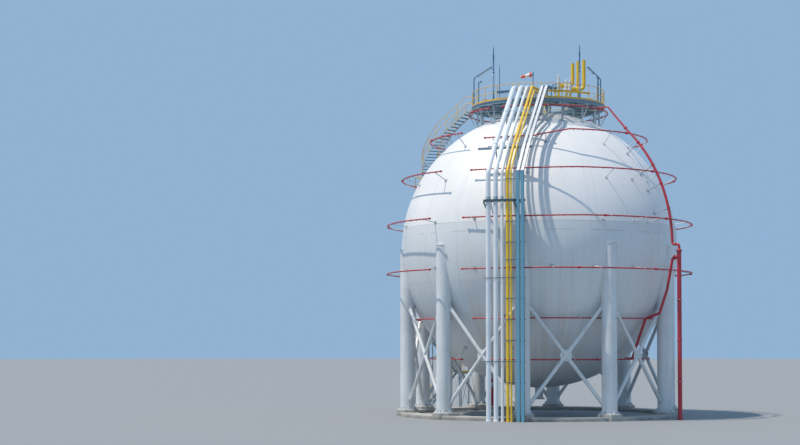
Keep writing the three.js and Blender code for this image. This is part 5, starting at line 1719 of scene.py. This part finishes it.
def gate_valve(shape, foot):
    """A dark valve on an upright branch, with its spindle and hand wheel toward the front."""
    tube(shape, [foot, foot + UP * 0.85], 0.05)
    flange_pair(shape, foot + UP * 0.85, UP, 0.12, 0.05, 6, 2, 8)
    body = foot + UP * 1.04
    housing = [(0.06, -0.2), (0.1, -0.14), (0.12, 0), (0.1, 0.12), (0.05, 0.16), (0, 0.17)]
    turned(shape, housing, body, UP, 28, 6)
    bonnet = [(0.09, 0.05), (0.085, 0.14), (0.1, 0.145), (0.1, 0.17), (0.045, 0.18), (0.035, 0.26), (0, 0.26)]
    turned(shape, bonnet, body, -BACK, 24, 6)
    tube(shape, [body - BACK * 0.2, body - BACK * 0.42], 0.014, 10, 2)
    wheel = body - BACK * 0.36
    rim = [on_circle(wheel, RIGHT, UP, 0.27, angle) for angle in spread(0, 2 * math.pi, 41)]
    tube(shape, rim, 0.034, 10, 6, False)
    for angle in turns(5):
        tube(shape, [wheel, on_circle(wheel, RIGHT, UP, 0.27, angle)], 0.017, 8, 6)


# Masts, lamps and windsock

MAST_TIP = 0.5
MAST_COLLARS = ((1.1, 0.072), (2.05, 0.07), (2.3, 0.066), (3.21, 0.066))
SLAT_PITCH = 0.055
LAMP_POSTS = {
    "left": {"azimuth": -88.8, "distance": 4.69, "top": 24.71, "arm": (1.31, 0.84), "shares": (0.2, 0.97)},
    "right": {"azimuth": 80.3, "distance": 4.6, "top": 24.37, "arm": (-0.91, 0.95), "shares": (0.5, 0.98),
              "stay": -0.19},
}
HORN_AZIMUTH = -68.5
AIR_ROD_AZIMUTH = -37.3
BOX_FROM = -36.5
BOX_TO = -25.3
SOCK_POLE = (-0.36, 2.75)
SOCK_HEIGHT = 25.39
SOCK_ARM = 0.108
SOCK_LENGTH = 0.84
SOCK_MOUTH = 0.19
SOCK_TAIL = 0.09
SOCK_TILT = 0.22
HOOP_INSET = 0.012


def base_plate(shape, foot):
    """A square plate with four gussets and four anchor nuts."""
    block(shape, foot + UP * 0.0105, UP * 0.0095, RIGHT * 0.09, BACK * 0.09)
    for way in (RIGHT, BACK, -RIGHT, -BACK):
        near, far = foot + way * 0.03 + UP * 0.02, foot + way * 0.085 + UP * 0.02
        prism(shape, [near, far, near + UP * 0.11], left_of(way) * 0.005)
    studs(shape, foot + UP * 0.02, UP, 0.1, 4, 0.012, 0.022, 1)


def lightning_mast(name, azimuth):
    """Two stretches of tube with collars, and a pointed rod on top."""
    shape = Shape()
    foot = around(azimuth, POST_DISTANCE, DECK_TOP)
    rise = MAST_TOP - DECK_TOP
    base_plate(shape, foot)
    rod(shape, foot, (0.012, 1.1, 1.1, rise - MAST_TIP), [0.06, 0.06, 0.052, 0.052], 18)
    for height, radius in MAST_COLLARS:
        collar(shape, foot + UP * height, UP, 0.03, radius)
    rod(shape, foot, (rise - MAST_TIP, rise - 0.25, rise - 0.03, rise), [0.034, 0.032, 0.029, 0.02], 14)
    shape.make(f"lightning_rod_{name}", [MAST_BLUE, BOLT], [f"lightning_mast_{name}"])


def lamp_post(name, azimuth, distance, top, arm, shares, stay=0.0):
    """A bent pole with a slatted lamp under its sloping arm, and where asked a second post beside it."""
    shape = Shape()
    foot = around(azimuth, distance, DECK_TOP)
    base_plate(shape, foot)
    reach, rise = arm
    bend = upright(foot, top)
    tip = bend + RIGHT * reach + UP * rise
    tube(shape, rounded([foot + UP * 0.012, bend, tip], 0.32, 12), 0.04)
    disc(shape, foot + UP * 0.9, foot + UP * 0.96, 0.054, 18)
    along = (tip - bend).normalized()
    under = BACK.cross(along)
    under = under if under.z < 0 else -under
    start, end = [bend.lerp(tip, share) + under * 0.075 for share in shares]
    length = (end - start).length
    for low, high, wide, deep, skin in ((0.0, 0.05, 0.12, 0.09, 0), (0.05, length - 0.05, 0.17, 0.075, 2),
                                        (length - 0.05, length, 0.12, 0.09, 0)):
        beam(shape, start + along * low, start + along * high, wide, deep, skin, under)
    for k in range(int(length / SLAT_PITCH)):
        place = start + along * (0.03 + SLAT_PITCH * k) - under * 0.03
        beam(shape, place - BACK * 0.055, place + BACK * 0.055, 0.008, 0.03, 0, under)
    for share in (0.2, 0.8):
        clip = start.lerp(end, share)
        beam(shape, clip, clip - under * 0.06, 0.03, 0.03, 0, along)
    lens = under * 0.028
    beam(shape, start + lens + along * 0.08, end + lens - along * 0.08, 0.1, 0.008, 3, under)
    if stay:
        base = foot + RIGHT * stay
        head = bend + RIGHT * stay + UP * rise * stay / reach
        base_plate(shape, base)
        tube(shape, [base + UP * 0.012, head], 0.05)
        disc(shape, head - UP * 0.12, head + UP * 0.03, 0.075, 18)
        for height in (0.75, 1.5):
            beam(shape, base + UP * height, foot + UP * height, 0.02, 0.04, 1)
    shape.make(f"lamp_{name}", [MAST_BLUE, BOLT, POST_GREY, TRAY_WHITE], [f"lamp_post_{name}"])


def deck_posts():
    """A thin post with a horn by the left lamp, and a short air rod."""
    shape = Shape()
    foot = around(HORN_AZIMUTH, POST_DISTANCE, DECK_TOP)
    base_plate(shape, foot)
    rod(shape, foot, (0.012, 1.63), 0.036, 14)
    head = foot + UP * 1.61
    way = Vector((1, -0.2, 0.3)).normalized()
    bell = [(0.03, 0.0), (0.035, 0.08), (0.05, 0.14), (0.085, 0.2), (0.09, 0.205), (0.082, 0.2), (0.03, 0.1)]
    turned(shape, bell, head, way, 20)
    disc(shape, head - way * 0.05, head + way * 0.02, 0.045, 18)
    foot = around(AIR_ROD_AZIMUTH, POST_DISTANCE - 0.1, DECK_TOP)
    base_plate(shape, foot)
    rod(shape, foot, (0.012, 2.2, 2.59), [0.028, 0.024, 0.006], 12)
    disc(shape, foot + UP * 1.2, foot + UP * 1.26, 0.04, 16)
    shape.make("deck_posts", [MAST_BLUE, BOLT])


def junction_box():
    """A box with a lid on the railing, and four cables from its glands down to the deck."""
    shape = Shape()
    left, right = [around(azimuth, RAIL_RADIUS + 0.03, DECK_TOP + MID_RAIL) for azimuth in (BOX_FROM, BOX_TO)]
    middle, half = (left + right) / 2, (right - left) / 2
    out = around((BOX_FROM + BOX_TO) / 2, 1)
    block(shape, middle, UP * 0.075, half, out * 0.07)
    block(shape, middle + out * 0.075, UP * 0.06, half * 0.92, out * 0.01)
    for k in range(4):
        gland = left.lerp(right, 0.2 + 0.2 * k) - UP * 0.075
        foot = around(-33.5 + 1.8 * k, RAIL_RADIUS + 0.01, DECK_TOP + 0.02)
        tube(shape, [gland, gland - UP * 0.045], 0.022, 12, 1)
        tube(shape, [gland - UP * 0.04, gland - UP * 0.3, foot], 0.011, 10, 2)
    shape.make("junction_box", [EDGE_BLUE, BOLT, CABLE])


def sock_centre(share):
    """A place on the sock's axis, share 0 at the mouth."""
    x = SOCK_POLE[0] - SOCK_ARM - 0.007 - SOCK_LENGTH * math.cos(SOCK_TILT) * share
    z = SOCK_HEIGHT - SOCK_LENGTH * math.sin(SOCK_TILT) * share - 0.02 * math.sin(math.pi * share)
    return Vector((x, SOCK_POLE[1], z))


def windsock():
    """A pole with a spoked hoop, and the cloth that hangs from it."""
    shape = Shape()
    foot = upright(SOCK_POLE, DECK_TOP)
    base_plate(shape, foot)
    rod(shape, foot, (0.012, 1.5, 1.5, SOCK_HEIGHT + 0.2 - DECK_TOP), [0.035, 0.035, 0.028, 0.028])
    collar(shape, foot + UP * 1.5, UP, 0.03, 0.044, 18)
    hub = upright(SOCK_POLE, SOCK_HEIGHT)
    collar(shape, hub, UP, 0.06, 0.045, 18)
    mouth = sock_centre(0)
    way = (sock_centre(0.02) - mouth).normalized()
    side, other = sides_of(way)
    centre, radius = mouth + way * HOOP_INSET, SOCK_MOUTH - HOOP_INSET
    hoop = [on_circle(centre, side, other, radius, angle) for angle in spread(0, 2 * math.pi, 49)]
    tube(shape, hoop, 0.008, 8, 1, False)
    for k in (6, 18, 30, 42):
        tube(shape, [hub, hoop[k]], 0.007, 8, 1)
    shape.make("windsock_mast", [MAST_BLUE, BOLT], ["windsock_pole"])

    rows = []
    for share in spread(0, 1, 41):
        radius = SOCK_MOUTH + (SOCK_TAIL - SOCK_MOUTH) * share
        row = []
        for angle in turns(72):
            waves = 0.035 * math.sin(5 * angle + 2.5 * share) + 0.02 * math.sin(9 * angle - 3 * share)
            sag = 1 - 0.05 * share * max(0.0, math.sin(angle))
            reach = radius * (1 + share * waves) * sag
            row.append(on_circle(sock_centre(share), side, other, reach, angle))
        rows.append(row)
    cloth = Shape()
    loft(cloth, rows, True, 0, False)
    piece = cloth.make("windsock_cloth", [sock_skin()], ["windsock"])


for line in PIPES:
    pipe(*line)
for rack in LADDERS:
    cable_ladder(*rack)
main_bracket()
guides()
for support in SUPPORTS.items():
    slope_support(*support)
relief_manifold()
lightning_mast("left", -43.5)
lightning_mast("right", 39.9)
for lamp_name, lamp in LAMP_POSTS.items():
    lamp_post(lamp_name, **lamp)
deck_posts()
junction_box()
windsock()
